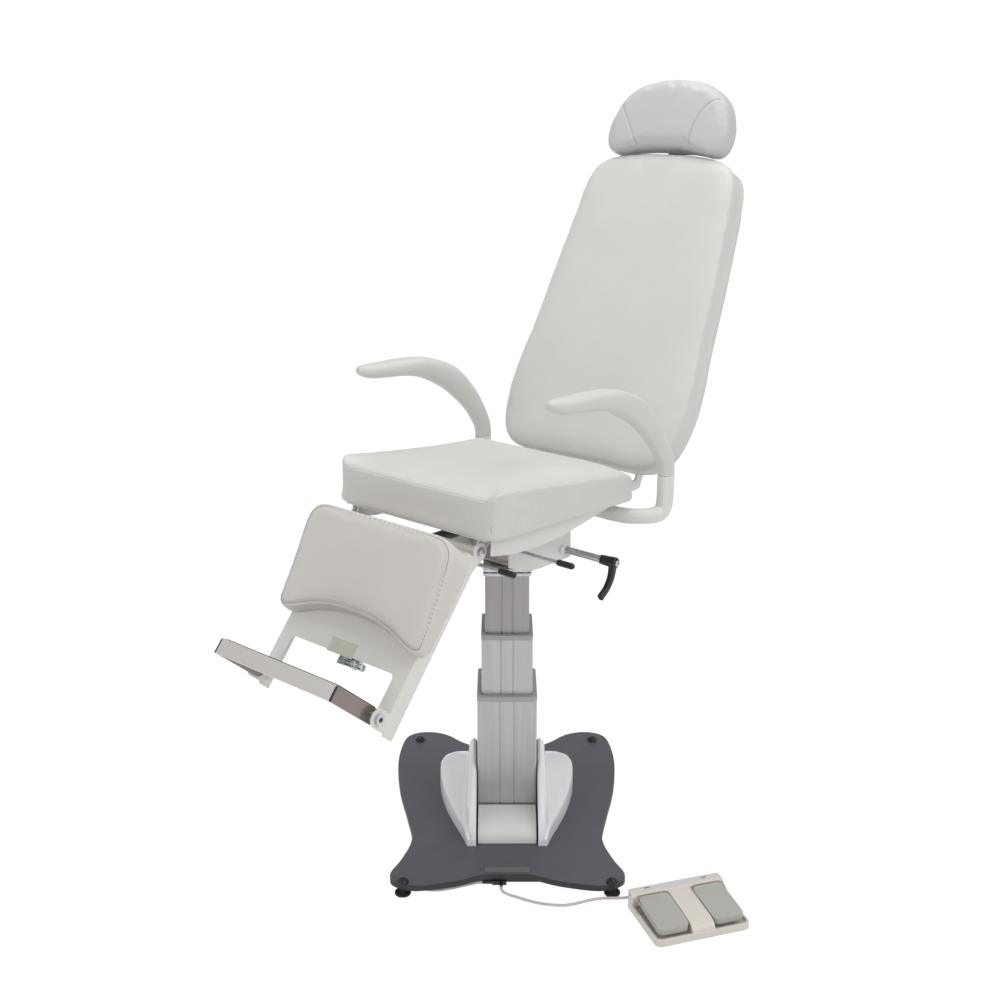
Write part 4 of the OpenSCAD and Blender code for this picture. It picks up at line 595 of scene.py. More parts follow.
HEAD_SHARES = [
    [0, 0.078], [0.3, 0.072], [0.55, 0.05], [0.74, 0.026], [0.86, 0.03], [0.945, 0.08],
    [0.99, 0.165], [1.01, 0.28], [0.985, 0.45], [0.868, 0.7], [0.632, 0.89], [0.32, 0.98], [0, 1.005],
]  # fmt: skip
CALF_SHARES = [
    [0, 1], [0.5, 1], [0.74, 0.998], [0.87, 0.972], [0.952, 0.912], [0.99, 0.825], [1, 0.7], [1, 0.4],
    [1, 0.12], [0.975, 0.035], [0.9, 0], [0.8, 0.008], [0.66, 0.05], [0.5, 0.098],
    [0.28, 0.137], [0, 0.15],
]  # fmt: skip
SEAT_W, SEAT_LEN, SEAT_T, SEAT_CORNER, SEAT_DIP, SEAT_REAR_DROP = 0.482, 0.502, 0.101, 0.027, 0.04, 0.052
BACK_W, BACK_LEN, BACK_T, BACK_LOW, BACK_BEND = 0.554, 0.828, 0.065, 0.071, 0.017
HEAD_W, HEAD_H, HEAD_T, HEAD_SHIFT = 0.370, 0.207, 0.062, -0.004
CALF_HALF_W, CALF_TOP, CALF_BOTTOM, CALF_TOP_T, CALF_BOTTOM_T = 0.222, 0.016, 0.256, 0.084, 0.029
SEAT_GAP, BACK_REAR, CALF_REAR = 0.0003, 0.073, 0.036
BACK_CENTRE, HEAD_CENTRE, HEAD_FILL, CALF_CENTRE = 0.47, 0.42, 0.96, 0.55


def both_halves(half):
    """A half outline from middle to middle, joined to its mirror image."""
    half = np.asarray(half, float)
    return np.vstack([half, half[-2:0:-1] * [-1, 1]])


def seat_top(x, y):
    """The seat's upper face: raised front corners, a flat scoop between them, lower at the rear.
    Height = t + 0.010 (1 - s / 0.45)^2 - dip (1 - |side|^7) (1 - s / 0.3)^2 - drop ((s - 0.72) / 0.28)^1.6,
    with s the share of the length and side the share of the half width, and each bracket 0 or more."""
    s, side = y / SEAT_LEN, 2 * x / SEAT_W
    horns = 0.010 * np.maximum(0, 1 - s / 0.45) ** 2
    dip = SEAT_DIP * (1 - np.abs(side).clip(0, 1) ** 7) * np.maximum(0, 1 - s / 0.3) ** 2
    return SEAT_T + horns - dip - SEAT_REAR_DROP * np.maximum(0, (s - 0.72) / 0.28) ** 1.6


def back_top(x, y):
    """The back's face: its upper part comes forward by bend ((v - 0.4) / 0.5)^2, for v above 0.4."""
    return BACK_T + BACK_BEND * (np.maximum(0, y - 0.4) / 0.5) ** 2


def calf_top(x, y):
    """The calf pad's face: a wedge, thick at its upper edge."""
    s = (-y - CALF_TOP) / (CALF_BOTTOM - CALF_TOP)
    return CALF_BOTTOM_T + (CALF_TOP_T - CALF_BOTTOM_T) * (0.62 * (1 - s) + 0.38 * (1 - s).clip(0) ** 2)


def pad_rings(outline, centre, rows, top):
    """Rings of a pad: each row draws the outline in towards its centre by a share and lifts it by a share
    of the height that top gives there."""
    rows = spline(rows, 4)
    q = np.asarray(centre) + (outline - centre)[None] * rows[:, None, :1]
    z = rows[:, None, 1] * top(q[..., 0], q[..., 1])
    return np.concatenate([q, z[..., None]], -1)


def remeshed(made, size):
    """Even faces of this size over the whole piece."""
    even = made.modifiers.new("even", "REMESH")
    even.mode = "VOXEL"
    even.voxel_size = size
    even.use_smooth_shade = True
    bake(made)


def bake(made):
    """The modifiers so far become the piece's own mesh."""
    graph = bpy.context.evaluated_depsgraph_get()
    mesh = bpy.data.meshes.new_from_object(made.evaluated_get(graph), depsgraph=graph)
    made.modifiers.clear()
    old, made.data = made.data, mesh
    bpy.data.meshes.remove(old)


def coordinates(mesh):
    """The mesh's points as an array."""
    co = np.zeros(len(mesh.vertices) * 3)
    mesh.vertices.foreach_get("co", co)
    return co.reshape(-1, 3)


def normals(mesh):
    """The mesh's point normals as an array."""
    out = np.zeros(len(mesh.vertices) * 3)
    mesh.vertices.foreach_get("normal", out)
    return out.reshape(-1, 3)


def put(mesh, co):
    """An array of points back into the mesh."""
    mesh.vertices.foreach_set("co", np.asarray(co, float).ravel())
    mesh.update()


COVER_STIFFNESS, COVER_BENDING, COVER_MASS, COVER_QUALITY = 15, 0.5, 0.3, 5


def puffed(made, cap, slack, pressure=4.0, frames=20):
    """Cloth under air pressure swells the cover over its foam; each point moves by cap at most."""
    mesh = made.data
    rest = coordinates(mesh)
    put(mesh, rest - normals(mesh) * slack)
    cloth = made.modifiers.new("cover", "CLOTH")
    cloth.settings.quality = COVER_QUALITY
    cloth.settings.mass = COVER_MASS
    cloth.settings.tension_stiffness = COVER_STIFFNESS
    cloth.settings.compression_stiffness = COVER_STIFFNESS
    cloth.settings.bending_stiffness = COVER_BENDING
    cloth.settings.use_pressure = True
    cloth.settings.uniform_pressure_force = pressure
    cloth.settings.effector_weights.gravity = 0
    cloth.collision_settings.use_self_collision = False
    cloth.point_cache.frame_start = 1
    cloth.point_cache.frame_end = frames
    for number in range(1, frames + 1):
        scene.frame_set(number)
    graph = bpy.context.evaluated_depsgraph_get()
    swollen = coordinates(made.evaluated_get(graph).data)
    made.modifiers.clear()
    scene.frame_set(1)
    step = swollen - coordinates(mesh)
    reach = np.linalg.norm(step, axis=1, keepdims=True)
    put(mesh, coordinates(mesh) + step * np.minimum(1, cap / np.maximum(reach, 1e-9)))


def upholster(name, rings, place, voxel, cap, finish, body, replaced, keep_under, evened=2):
    """A padded piece: its rings, evened, swollen as a cover over foam and smoothed. What lies under
    keep_under, where it rests on its board or tray, goes back to its flat rest."""
    made = skin(name, rings)
    remeshed(made, voxel)
    mesh = made.data
    flat = coordinates(mesh)
    puffed(made, cap, cap * 0.5)
    now = coordinates(mesh)
    share = np.clip(flat[:, 2:] / keep_under, 0, 1)
    now = flat + (now - flat) * share * share * (3 - 2 * share)
    put(mesh, at(place, now))
    smooth = made.modifiers.new("smooth", "SMOOTH")
    smooth.iterations = evened
    finer = made.modifiers.new("finer", "SUBSURF")
    finer.levels = finer.render_levels = 1
    bake(made)
    made.data.polygons.foreach_set("use_smooth", [True] * len(made.data.polygons))
    finished(made, finish, body, replaced, slot="upholstery")
    return made


def outline_of(shares, a, b, low=0.0):
    """An outline from its shares of the half width and the height."""
    return spline(both_halves(np.asarray(shares) * [a, b] + [0, low]), 8, closed=True)


seat_outline = rounded_outline(SEAT_W, SEAT_LEN, SEAT_CORNER, 12) + [0, SEAT_LEN / 2]
seat_pad = upholster(
    "seat_upholstery",
    pad_rings(seat_outline, [0, SEAT_LEN / 2], SEAT_ROWS, seat_top),
    SEAT_PLANE @ moved(0, 0, SEAT_GAP),
    voxel=0.0052, cap=0.003, finish=UPHOLSTERY, body="seat", replaced="seat_cushion",
    keep_under=0.03, evened=1,
)  # fmt: skip
upholster(
    "back_upholstery",
    pad_rings(
        outline_of(BACK_SHARES, BACK_W / 2, BACK_LEN, BACK_LOW),
        [0, BACK_LOW + BACK_LEN * BACK_CENTRE], ROWS, back_top,
    ),
    BACK @ moved(0, BACK_REAR, 0) @ STOOD_UP,
    voxel=0.007, cap=0.005, finish=UPHOLSTERY, body="backrest", replaced="back_cushion",
    keep_under=0.02,
)  # fmt: skip
head_pad = upholster(
    "headrest_upholstery",
    pad_rings(
        outline_of(HEAD_SHARES, HEAD_W / 2, HEAD_H),
        [0, HEAD_H * HEAD_CENTRE], HEAD_ROWS, lambda x, y: HEAD_T * HEAD_FILL + 0 * x,
    ),
    HEAD @ moved(HEAD_SHIFT, HEAD_T, 0) @ STOOD_UP,
    voxel=0.004, cap=0.004, finish=UPHOLSTERY_HEAD_PAINTED_SHADE, body="headrest", replaced="headrest_cushion",
    keep_under=0.02,
)  # fmt: skip
calf_pad = upholster(
    "calf_upholstery",
    pad_rings(
        outline_of(CALF_SHARES, CALF_HALF_W, CALF_BOTTOM - CALF_TOP, -CALF_BOTTOM),
        [0, -CALF_BOTTOM + (CALF_BOTTOM - CALF_TOP) * CALF_CENTRE], CALF_ROWS, calf_top,
    ),
    LEG @ moved(0, -CALF_REAR - SEAT_GAP, 0) @ STOOD_UP,
    voxel=0.005, cap=0.003, finish=UPHOLSTERY_CALF, body="leg_rest", replaced="calf_pad",
    keep_under=0.012,
)  # fmt: skip


# ---------------------------------------------------------------- seams


RAY_START, STITCH_SIDES = 0.3, 6
INTO_BACK, DOWN = (0, 1, 0), (0, 0, -1)


def faces_tree(made):
    """The piece's faces, for finding where a line drawn over it lies."""
    mesh = made.data
    return BVHTree.FromPolygons(coordinates(mesh).tolist(), [face.vertices[:] for face in mesh.polygons])


def draped(tree, place, line, toward):
    """Where a drawn line lies on a piece: points and normals found from outside, going toward it."""
    way = Vector(place[:3, :3] @ np.asarray(toward, float))
    points, facing = [], []
    for point in at(place, line):
        hit, normal, _, _ = tree.ray_cast(Vector(point) - way * RAY_START, way)
        if hit is not None:
            points.append(hit)
            facing.append(normal)
    return np.array(points), np.array(facing)


def folded(made, points, depth, width):
    """The cover drawn in along a seam, by depth x exp(-(distance / width)^2)."""
    mesh = made.data
    co, facing = coordinates(mesh), normals(mesh)
    near = np.full(len(co), np.inf)
    for point in points:
        near = np.minimum(near, ((co - point) ** 2).sum(1))
    put(mesh, co - facing * (depth * np.exp(-near / width**2))[:, None])


def sewn(name, made, place, line, toward, body, depth=0.0018, width=0.0035, thread=0.0005, steps=6, sunk=0.6):
    """A seam: a fold along a drawn line, with a dark tube sunk in its bottom as painted shade in the groove.
    """
    points, facing = draped(faces_tree(made), place, spline(line, steps), toward)
    folded(made, points, depth, width)
    # The tube is painted shade along the groove's bottom; thread is its radius.
    joint = tube(name, points - facing * (depth - thread * sunk), thread, 6)
    return finished(joint, SEAM_PAINTED_SHADE, body)


def stitched(name, made, place, line, toward, body, pitch=0.005, stitch=0.0034, radius=0.0003):
    """A row of short stitches along a drawn line, each a capsule on the cover."""
    points, facing = draped(faces_tree(made), place, line, toward)
    run = np.concatenate([[0], np.cumsum(np.linalg.norm(np.diff(points, axis=0), axis=1))])
    turns = np.arange(STITCH_SIDES) * 2 * np.pi / STITCH_SIDES
    verts, faces = [], []
    for start in np.arange(0, run[-1] - stitch, pitch):
        near, far = (
            np.array([np.interp(way, run, points[:, i]) for i in range(3)]) for way in (start, start + stitch)
        )
        lift = np.array([np.interp(start, run, facing[:, i]) for i in range(3)])
        along = (far - near) / np.linalg.norm(far - near)
        side = np.cross(along, lift)
        tip = len(verts)
        ring, next_ring, last = tip + 1, tip + 1 + STITCH_SIDES, tip + 1 + 2 * STITCH_SIDES
        verts.append(near - along * radius)
        for end in (near, far):
            verts += [end + (side * np.cos(turn) + lift * np.sin(turn)) * radius for turn in turns]
        verts.append(far + along * radius)
        for k in range(STITCH_SIDES):
            after = (k + 1) % STITCH_SIDES
            faces.append([tip, ring + after, ring + k])
            faces.append([ring + k, ring + after, next_ring + after, next_ring + k])
            faces.append([last, next_ring + k, next_ring + after])
    return finished(piece(name, verts, faces), SEAM_THREAD, body)


def inset(outline, depth):
    """A closed outline moved inwards by a depth."""
    ahead = np.roll(outline, -1, 0) - np.roll(outline, 1, 0)
    ahead /= np.linalg.norm(ahead, axis=1, keepdims=True)
    return outline + np.column_stack([-ahead[:, 1], ahead[:, 0]]) * depth


def on_face(line):
    """Points across and up a pad, as points in its place's frame."""
    line = np.asarray(line, float)
    return np.column_stack([line[:, 0], np.zeros(len(line)), line[:, 1]])


def along_calf(depth):
    """A closed line round the calf pad's face, this far inside its outline."""
    outline = outline_of(CALF_SHARES, CALF_HALF_W, CALF_BOTTOM - CALF_TOP, -CALF_BOTTOM)
    x, y = outline.T
    turn = np.sign(np.sum(x * np.roll(y, -1) - y * np.roll(x, -1)))
    line = inset(outline, depth * turn)
    return on_face(np.vstack([line, line[:1]]))


def along_seat(y):
    """A line across the seat's upper face, this far behind its front."""
    x = np.linspace(-SEAT_SEAM_HALF, SEAT_SEAM_HALF, SEAT_SEAM_POINTS)
    return np.column_stack([x, np.full(len(x), y), np.zeros(len(x))])


HEAD_LEFT = MM * np.array([[-160, 141], [-137.5, 113.2], [-107.8, 70.1], [-87.4, 36.6], [-76, 12.5]])
HEAD_RIGHT = MM * np.array(
    [[154, 151], [128.6, 143.8], [111.3, 129.8], [92.4, 101.9], [81.6, 69.1], [78.2, 41], [82, 10]]
)
HEAD_RIGHT_DEPTH = 0.0024
CALF_SEAM_IN, CALF_STITCHES_IN, CALF_SEAM_W = 0.0105, 0.015, 0.0032
SEAT_SEAM_HALF, SEAT_SEAM_POINTS, SEAT_SEAM_IN, SEAT_STITCHES_IN = 0.225, 60, 0.0075, 0.0135
sewn("headrest_seam_left", head_pad, HEAD, on_face(HEAD_LEFT), INTO_BACK, "headrest")
sewn("headrest_seam_right", head_pad, HEAD, on_face(HEAD_RIGHT), INTO_BACK, "headrest", HEAD_RIGHT_DEPTH)
sewn("calf_seam", calf_pad, LEG, along_calf(CALF_SEAM_IN), INTO_BACK, "leg_rest", width=CALF_SEAM_W, steps=1)
stitched("calf_stitches", calf_pad, LEG, along_calf(CALF_STITCHES_IN), INTO_BACK, "leg_rest")
sewn(
    "seat_seam", seat_pad, SEAT_PLANE, along_seat(SEAT_SEAM_IN), DOWN, "seat",
    depth=0.0012, width=0.003, thread=0.0004, steps=1,
)  # fmt: skip
stitched("seat_stitches", seat_pad, SEAT_PLANE, along_seat(SEAT_STITCHES_IN), DOWN, "seat", radius=0.00028)


# ---------------------------------------------------------------- armrests and their brackets

POST_X, POST_Y, JOINT_Z, ARM_TOP_Z, ARM_TIP = 0.283, 0.234, 0.867, 1.112, 0.198
ARM_JOINT_Z = JOINT_Z + 0.0006
ARM_SHARES = np.array(
    [
        [0, -0.012, 0.73, 0.57], [0.004, 0.09, 0.74, 0.57], [0.03, 0.2, 0.78, 0.58],
        [0.1, 0.385, 0.88, 0.62], [0.195, 0.56, 1.0, 0.7], [0.3, 0.705, 1.04, 0.79],
        [0.425, 0.81, 0.94, 0.9], [0.54, 0.875, 0.82, 0.97], [0.68, 0.91, 0.7, 1],
        [0.82, 0.922, 0.63, 0.97], [0.925, 0.935, 0.55, 0.82], [0.98, 0.955, 0.38, 0.56],
        [1, 0.967, 0.12, 0.2],
    ]
)  # fmt: skip
BRACKET_SHARES = np.array(
    [
        [1, 0, 0], [1, 0, 0.42], [1, 0.02, 0.68], [0.998, 0.07, 0.85], [0.99, 0.18, 0.965],
        [0.968, 0.38, 1], [0.92, 0.63, 1], [0.84, 0.84, 1], [0.74, 0.95, 0.99], [0.6, 1, 0.97],
        [0.42, 1, 0.96],
    ]
)  # fmt: skip
ARM_W, ARM_THICK, ARM_POWER = 0.060, 0.060, 2.4
BRACKET_DROP, BRACKET_REACH, BRACKET_HALF_W, BRACKET_HALF_D = 0.092, 0.090, 0.017, 0.022


def armrest(name, side, node, body):
    """A moulded armrest: an oval section carried from the post up and forward to a flat tip."""
    s = spline(ARM_SHARES, 8)
    path = np.column_stack(
        [
            np.full(len(s), POST_X),
            POST_Y - (POST_Y + ARM_TIP) * s[:, 0],
            ARM_JOINT_Z + (ARM_TOP_Z - JOINT_Z) * s[:, 1],
        ]
    )
    rings = swept_rings(path, [1, 0, 0], ARM_W * s[:, 3] / 2, ARM_THICK * s[:, 2] / 2, 48, ARM_POWER)
    rings[..., 2] = rings[..., 2].clip(ARM_JOINT_Z)
    made = skin(name, at(SEAT, rings * [side, 1, 1]))
    return finished(made, ARM_FOAM, body, node, slot="arm_foam")


def arm_bracket(name, side, node):
    """An oval tube bent down, forward and in under the seat."""
    s = BRACKET_SHARES * [POST_X, -BRACKET_REACH, -BRACKET_DROP] + [0, POST_Y, JOINT_Z]
    half_t = BRACKET_HALF_D + (BRACKET_HALF_W - BRACKET_HALF_D) * np.clip((np.arange(len(s)) - 2) / 4, 0, 1)
    both = spline(np.column_stack([s, half_t]), 6)
    rings = swept_rings(both[:, :3], [1, 0, 0], BRACKET_HALF_W, both[:, 3], 40, ARM_POWER)
    made = skin(name, at(SEAT, rings * [side, 1, 1]))
    return finished(made, WHITE_PAINT, "seat", node, slot="white_paint")


armrest("left_armrest", 1, "armrest_left", body_with["armrest_left"])
armrest("right_armrest", -1, "armrest_right", body_with["armrest_right"])
arm_bracket("left_arm_bracket", 1, "arm_bracket_left")
arm_bracket("right_arm_bracket", -1, "arm_bracket_right")


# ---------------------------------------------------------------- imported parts

CURVED = 35
DRESSED = [
    ("base_plate", BASE_PAINT, 1.5), ("cover_left", COVER_WHITE, 1, CURVED),
    ("cover_right", COVER_WHITE, 1, CURVED), ("end_covers", END_COVER, 1.5, CURVED),
    ("column_outer_tube", COLUMN, 0.6), ("column_mid_tube", COLUMN, 0.6),
    ("column_inner_tube", COLUMN_INNER_PAINTED_SHADE, 0.6), ("outer_collar", COLLAR, 0.8), ("mid_collar", COLLAR, 0.8),
    ("column_top_plate", STEEL, 0.6), ("seat_carrier", WHITE_PAINT, 1), ("seat_tray", WHITE_PAINT, 0.6),
    ("leg_frame", LEG_PAINT, 0.7), ("foot_plate", POLISHED, 0.8), ("foot_tread", BLACK_RUBBER, 0.8),
    ("switch_housing", SWITCH_SHELL, 1.5), ("pedal_up", PEDAL, 2), ("pedal_down", PEDAL, 2),
    ("back_board", BOARD, 1.5), ("back_frame", WHITE_PAINT, 0.6), ("headrest_guide", BLACK_PLASTIC, 1.5),
    ("headrest_stem", STEEL, 0.8), ("socket_panel", BLACK_PLASTIC, 0.6),
    ("leg_lever_grip", BLACK_PLASTIC, 1.5), ("back_lever_grip", BLACK_PLASTIC, 1.5),
    ("headrest_lever", BLACK_PLASTIC, 1.5), ("foot_caps", BLACK_PLASTIC, 1.5),
    ("mains_plug", BLACK_PLASTIC, 1.5), ("levelling_feet", BLACK_RUBBER, 1.2),
]  # fmt: skip
STEEL_PARTS = [
    "clamp_rod", "leg_lever_rod", "back_lever_rod", "lever_brackets", "back_strut_rod", "leg_strut_rod",
    "lift_screw", "mid_screw_tube", "push_tube", "swivel_spindle", "pedal_rod",
]  # fmt: skip
dressed = {node: dress(node, finish, MM * bevel, *angle) for node, finish, bevel, *angle in DRESSED}
# Painted shade on the base plate's side faces, which face away from the light above.
faced(dressed["base_plate"], Vector((0, 0, 1)), BASE_SIDE_PAINTED_SHADE, most=0.5)
# Painted reflection on the foot plate's end faces.
faced(dressed["foot_plate"], Vector(LEG[:3, 0]), FOOT_END_PAINTED_REFLECTION, least=0.7)
repaint(ZINC, "hinge_bolts", "foot_pivot_bolts", "foot_catch")
repaint(STEEL, *STEEL_PARTS)
repaint(DARK_METAL, "back_strut_cylinder", "leg_strut_cylinder", "lift_motor")
repaint(BRONZE, "thrust_washer")
repaint(BLACK_PLASTIC, "cord_reliefs")


# ---------------------------------------------------------------- small fittings


def joined(name, *parts):
    """Several pieces as one object."""
    bm = bmesh.new()
    for part in parts:
        bm.from_mesh(part.data)
        mesh = part.data
        bpy.data.objects.remove(part)
        bpy.data.meshes.remove(mesh)
    mesh = bpy.data.meshes.new(name)
    bm.to_mesh(mesh)
    bm.free()
    made = bpy.data.objects.new(name, mesh)
    scene.collection.objects.link(made)
    return made


def corners(x0, y0, x1, y1):
    """A box's four corners, in metres from millimetres."""
    return MM * np.array([[x0, y0], [x1, y0], [x1, y1], [x0, y1]])


def flat_plate(name, box, level, thick, place, finish, body):
    """A thin plate on a face: its box is its low and high corner in millimetres."""
    return finished(prism(name, corners(*box), level, level + thick, place), finish, body)


def disc(name, radius, length, place, sides):
    """A plain disc or pin, its sizes in millimetres."""
    profile = MM * np.array([[0, 0], [radius, 0], [radius, length], [0, length]])
    return turned_part(name, profile, place, sides)


ALONG_X = turned("y", 90)
CLAMP = SEAT @ moved(0, 0.100, 0.677)
HUB_X, BUTTON_X, LEVER_T, LEVER_W, LEVER_WAIST, LEVER_FLARE = 0.205, 0.244, 0.0068, 0.0125, 0.0055, 0.001
HUB_PROFILE = [[0, 0], [10.5, 0], [11.5, 1.5], [12, 16], [13.2, 26], [13.2, 36], [12, 39], [0, 39]]
BUTTON_PROFILE = [[0, 0], [7.4, 0], [7.4, 3.5], [6.2, 4.8], [0, 5]]
LEVER_ROUTE = [
    [234, 0, -2], [234, -2, -16], [234.5, -9, -36], [235, -24, -55], [235, -44, -69], [235, -50, -72.5],
]  # fmt: skip


def clamp_lever():
    """The clamp's hub and its flat, curved lever, thick at both ends: with the share s of its length, its
    half width is w - waist sin(0.62 pi s) + flare s, drawn in to a round tip over the last tenth."""
    hub = turned_part("hub", MM * np.array(HUB_PROFILE), CLAMP @ moved(HUB_X, 0, 0) @ ALONG_X)
    path = spline(MM * np.array(LEVER_ROUTE), 8)
    share = np.linspace(0, 1, len(path))
    wide = LEVER_W - LEVER_WAIST * np.sin(share * np.pi * 0.62) + LEVER_FLARE * share
    end = np.sqrt(np.clip((1 - share) / 0.1, 0.03, 1))
    lever = skin("lever", at(CLAMP, swept_rings(path, [1, 0, 0], LEVER_T * end, wide * end, 28, 3.2)))
    finished(joined("clamp_lever", hub, lever), BLACK_PLASTIC, "clamp", "clamp_handle", slot="black_plastic")
    end = CLAMP @ moved(BUTTON_X, 0, 0) @ ALONG_X
    button = turned_part("clamp_button", MM * np.array(BUTTON_PROFILE), end)
    finished(button, STEEL, "clamp")


MARK_HALF_W, MARK_D, MARK_STROKE, BAR_Z, MARK_T = 0.0062, 0.0042, 0.0026, 0.0403, 0.0002


def chevron(name, x, y, up):
    """A small printed arrow head on the foot switch's rear bar."""
    w, d, t = MARK_HALF_W, MARK_D * up, MARK_STROKE * up
    outline = [[-w, -d / 2], [0, d / 2], [w, -d / 2], [w, -d / 2 + t], [0, d / 2 + t], [-w, -d / 2 + t]]
    mark = prism(name, np.array(outline) + [x, y], BAR_Z, BAR_Z + MARK_T, SWITCH)
    finished(mark, MARK, "base")


LEG_FACE = LEG @ STOOD_UP
FOOT = LEG @ moved(0, -0.060, -0.394)
clamp_lever()
flat_plate("blank_sticker", (-44.4, -303, 32.5, -271.5), 0.0360, 0.0003, LEG_FACE, STICKER, "leg_rest")
name_plate = prism("blank_name_plate", corners(-50, -299, 50, -279), 0.0270, 0.0282, np.eye(4), 0.0002)
finished(name_plate, PLATE_METAL, "base")
flat_plate("switch_label", (-78, 61, 80, 75), 0.0400, 0.0003, SWITCH, LABEL, "base")
chevron("mark_up", -0.0655, 0.0675, 1)
chevron("mark_down", 0.0692, 0.0685, -1)

WELL_EDGE = MM * np.array(
    [
        [102, 22, 33], [102, 38, 37], [98, 45, 38.4], [90, 47.2, 38.8], [60, 47.5, 38.9],
        [38, 47.2, 38.9], [31, 45, 38.6], [27.2, 39, 38.2], [26.4, 28, 37.4], [26.2, 0, 35.3],
        [26.1, -30, 33.2], [26.1, -54, 31],
    ]
)  # fmt: skip
WELL_R = 0.0013
for well_name, side in (("well_edge_left", -1), ("well_edge_right", 1)):
    route = at(SWITCH, spline(WELL_EDGE * [side, 1, 1], 5))
    finished(tube(well_name, route, WELL_R, 8), SWITCH_LIP, "base")

ROLLER_Y, ROLLER_Z, ROLLER_SIDES = -0.0305, -0.311, 24
ROLLER_PROFILE = [[0, 0], [7, 0], [7.6, 1], [7.6, 15], [7, 16], [0, 16]]
roller, flange, pin = (LEG @ moved(x, ROLLER_Y, ROLLER_Z) @ ALONG_X for x in (0.052, 0.043, 0.010))
catch = joined(
    "catch_clip",
    prism("clip", corners(-7, -319, 36, -298), 0.0290, 0.0315, LEG_FACE, 0.0006),
    turned_part("roller", MM * np.array(ROLLER_PROFILE), roller, ROLLER_SIDES),
    disc("roller_flange", 9.5, 3, flange, ROLLER_SIDES),
    disc("roller_pin", 4, 46, pin, 16),
)
finished(catch, ZINC, "leg_rest")

BOLT_X, SOCKET_PROFILE = 0.197, [[0, 0], [5.4, 0], [5.4, 0.5], [0, 0.6]]
PLATE_LOW, PLATE_HIGH, JOINT_HALF_W, JOINT_HALF_D, JOINT_BELOW = -0.0165, 0.0150, 0.0166, 0.0216, 0.0012
for side in (-1, 1):
    bolt_end = FOOT @ moved(side * BOLT_X, 0, 0) @ turned("y", side * 90)
    finished(turned_part("bolt_socket", MM * np.array(SOCKET_PROFILE), bolt_end, 6), DARK_METAL, "leg_rest")
    corner = prism(
        "open_corner", corners(side * 173, -133.2, side * 175.2, -128), PLATE_LOW, PLATE_HIGH, FOOT, 0.0004
    )
    finished(corner, BLACK_PLASTIC, "foot_rest")
    c, s = np.cos(np.arange(40) * np.pi / 20), np.sin(np.arange(40) * np.pi / 20)
    joint_line = np.column_stack(
        [
            side * POST_X + JOINT_HALF_W * np.sign(c) * np.abs(c) ** (2 / ARM_POWER),
            POST_Y + JOINT_HALF_D * np.sign(s) * np.abs(s) ** (2 / ARM_POWER),
        ]
    )
    joint = prism("armrest_joint", joint_line, JOINT_Z - JOINT_BELOW, JOINT_Z + SEAT_GAP, SEAT)
    finished(joint, BLACK_PLASTIC, "seat")


# ---------------------------------------------------------------- floor and lamps


FLOOR_HALF, FLOOR_Z, FLOOR_SHARE, FLOOR_GLOW, FLOOR_MATT = 30.0, -0.0006, 0.88, 1.1, 0.9


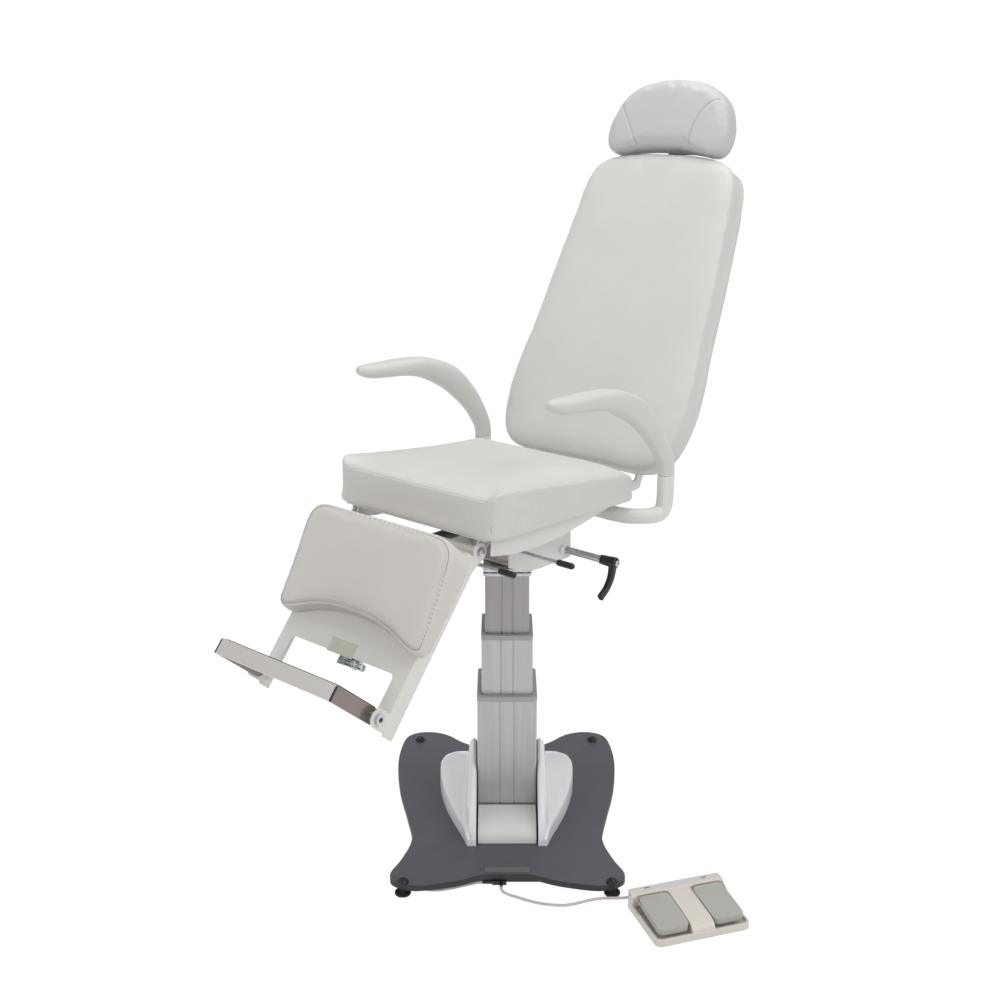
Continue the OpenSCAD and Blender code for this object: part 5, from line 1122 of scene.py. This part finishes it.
def floor():
    """A wide pale floor that keeps a soft shadow."""
    square = [[FLOOR_HALF * x, FLOOR_HALF * y, FLOOR_Z] for x, y in [(-1, -1), (1, -1), (1, 1), (-1, 1)]]
    made = piece("floor", square, [[0, 1, 2, 3]], False)
    material = bpy.data.materials.new("floor_white")
    material.use_nodes = True
    tree = material.node_tree
    tree.nodes.clear()
    out, mix, seen, glow, matt, share, either = (
        tree.nodes.new("ShaderNode" + kind)
        for kind in ("OutputMaterial", "MixShader", "LightPath", "Emission", "BsdfDiffuse", "Math", "Math")
    )
    share.operation, either.operation = "MULTIPLY", "MAXIMUM"
    share.inputs[1].default_value = FLOOR_SHARE
    glow.inputs["Color"].default_value = (1, 1, 1, 1)
    glow.inputs["Strength"].default_value = FLOOR_GLOW
    matt.inputs["Color"].default_value = (FLOOR_MATT, FLOOR_MATT, FLOOR_MATT, 1)
    for source, target in [
        (seen.outputs["Is Camera Ray"], either.inputs[0]),
        (seen.outputs["Is Glossy Ray"], either.inputs[1]),
        (either.outputs[0], share.inputs[0]),
        (share.outputs[0], mix.inputs["Fac"]),
        (matt.outputs[0], mix.inputs[1]),
        (glow.outputs[0], mix.inputs[2]),
        (mix.outputs[0], out.inputs["Surface"]),
    ]:
        tree.links.new(source, target)
    made.data.materials.append(material)


def world_light(strength):
    """Even light from all round; the camera and transmission rays see plain white."""
    world = bpy.data.worlds.new("studio")
    world.use_nodes = True
    tree = world.node_tree
    background = tree.nodes["Background"]
    seen = tree.nodes.new("ShaderNodeLightPath")
    either = tree.nodes.new("ShaderNodeMath")
    either.operation = "MAXIMUM"
    level = tree.nodes.new("ShaderNodeMapRange")
    level.inputs["To Min"].default_value = strength
    level.inputs["To Max"].default_value = 1.0
    background.inputs["Color"].default_value = (1, 1, 1, 1)
    tree.links.new(seen.outputs["Is Camera Ray"], either.inputs[0])
    tree.links.new(seen.outputs["Is Transmission Ray"], either.inputs[1])
    tree.links.new(either.outputs[0], level.inputs["Value"])
    tree.links.new(level.outputs["Result"], background.inputs["Strength"])
    scene.world = world


def lamp(name, place, aim, size, power):
    """A square soft box."""
    made = bpy.data.objects.new(name, bpy.data.lights.new(name, "AREA"))
    made.data.size = size
    made.data.energy = power
    made.location = place
    made.rotation_euler = (Vector(aim) - Vector(place)).to_track_quat("-Z", "Y").to_euler()
    scene.collection.objects.link(made)


AMBIENT = 0.52
LAMPS = [
    ("key_right", (2.6, -1.8, 2.9), (0.1, 0, 0.9), 2.2, 40),
    ("fill_left", (-2.8, -2.2, 2.0), (0, 0, 0.9), 2.4, 26),
    ("top", (0.1, 0.3, 3.6), (0, 0, 0.8), 2.0, 40),
    ("low_front", (0.8, -2.5, 0.6), (0.05, 0, 0.2), 1.1, 3),
]
floor()
world_light(AMBIENT)
for row in LAMPS:
    lamp(*row)
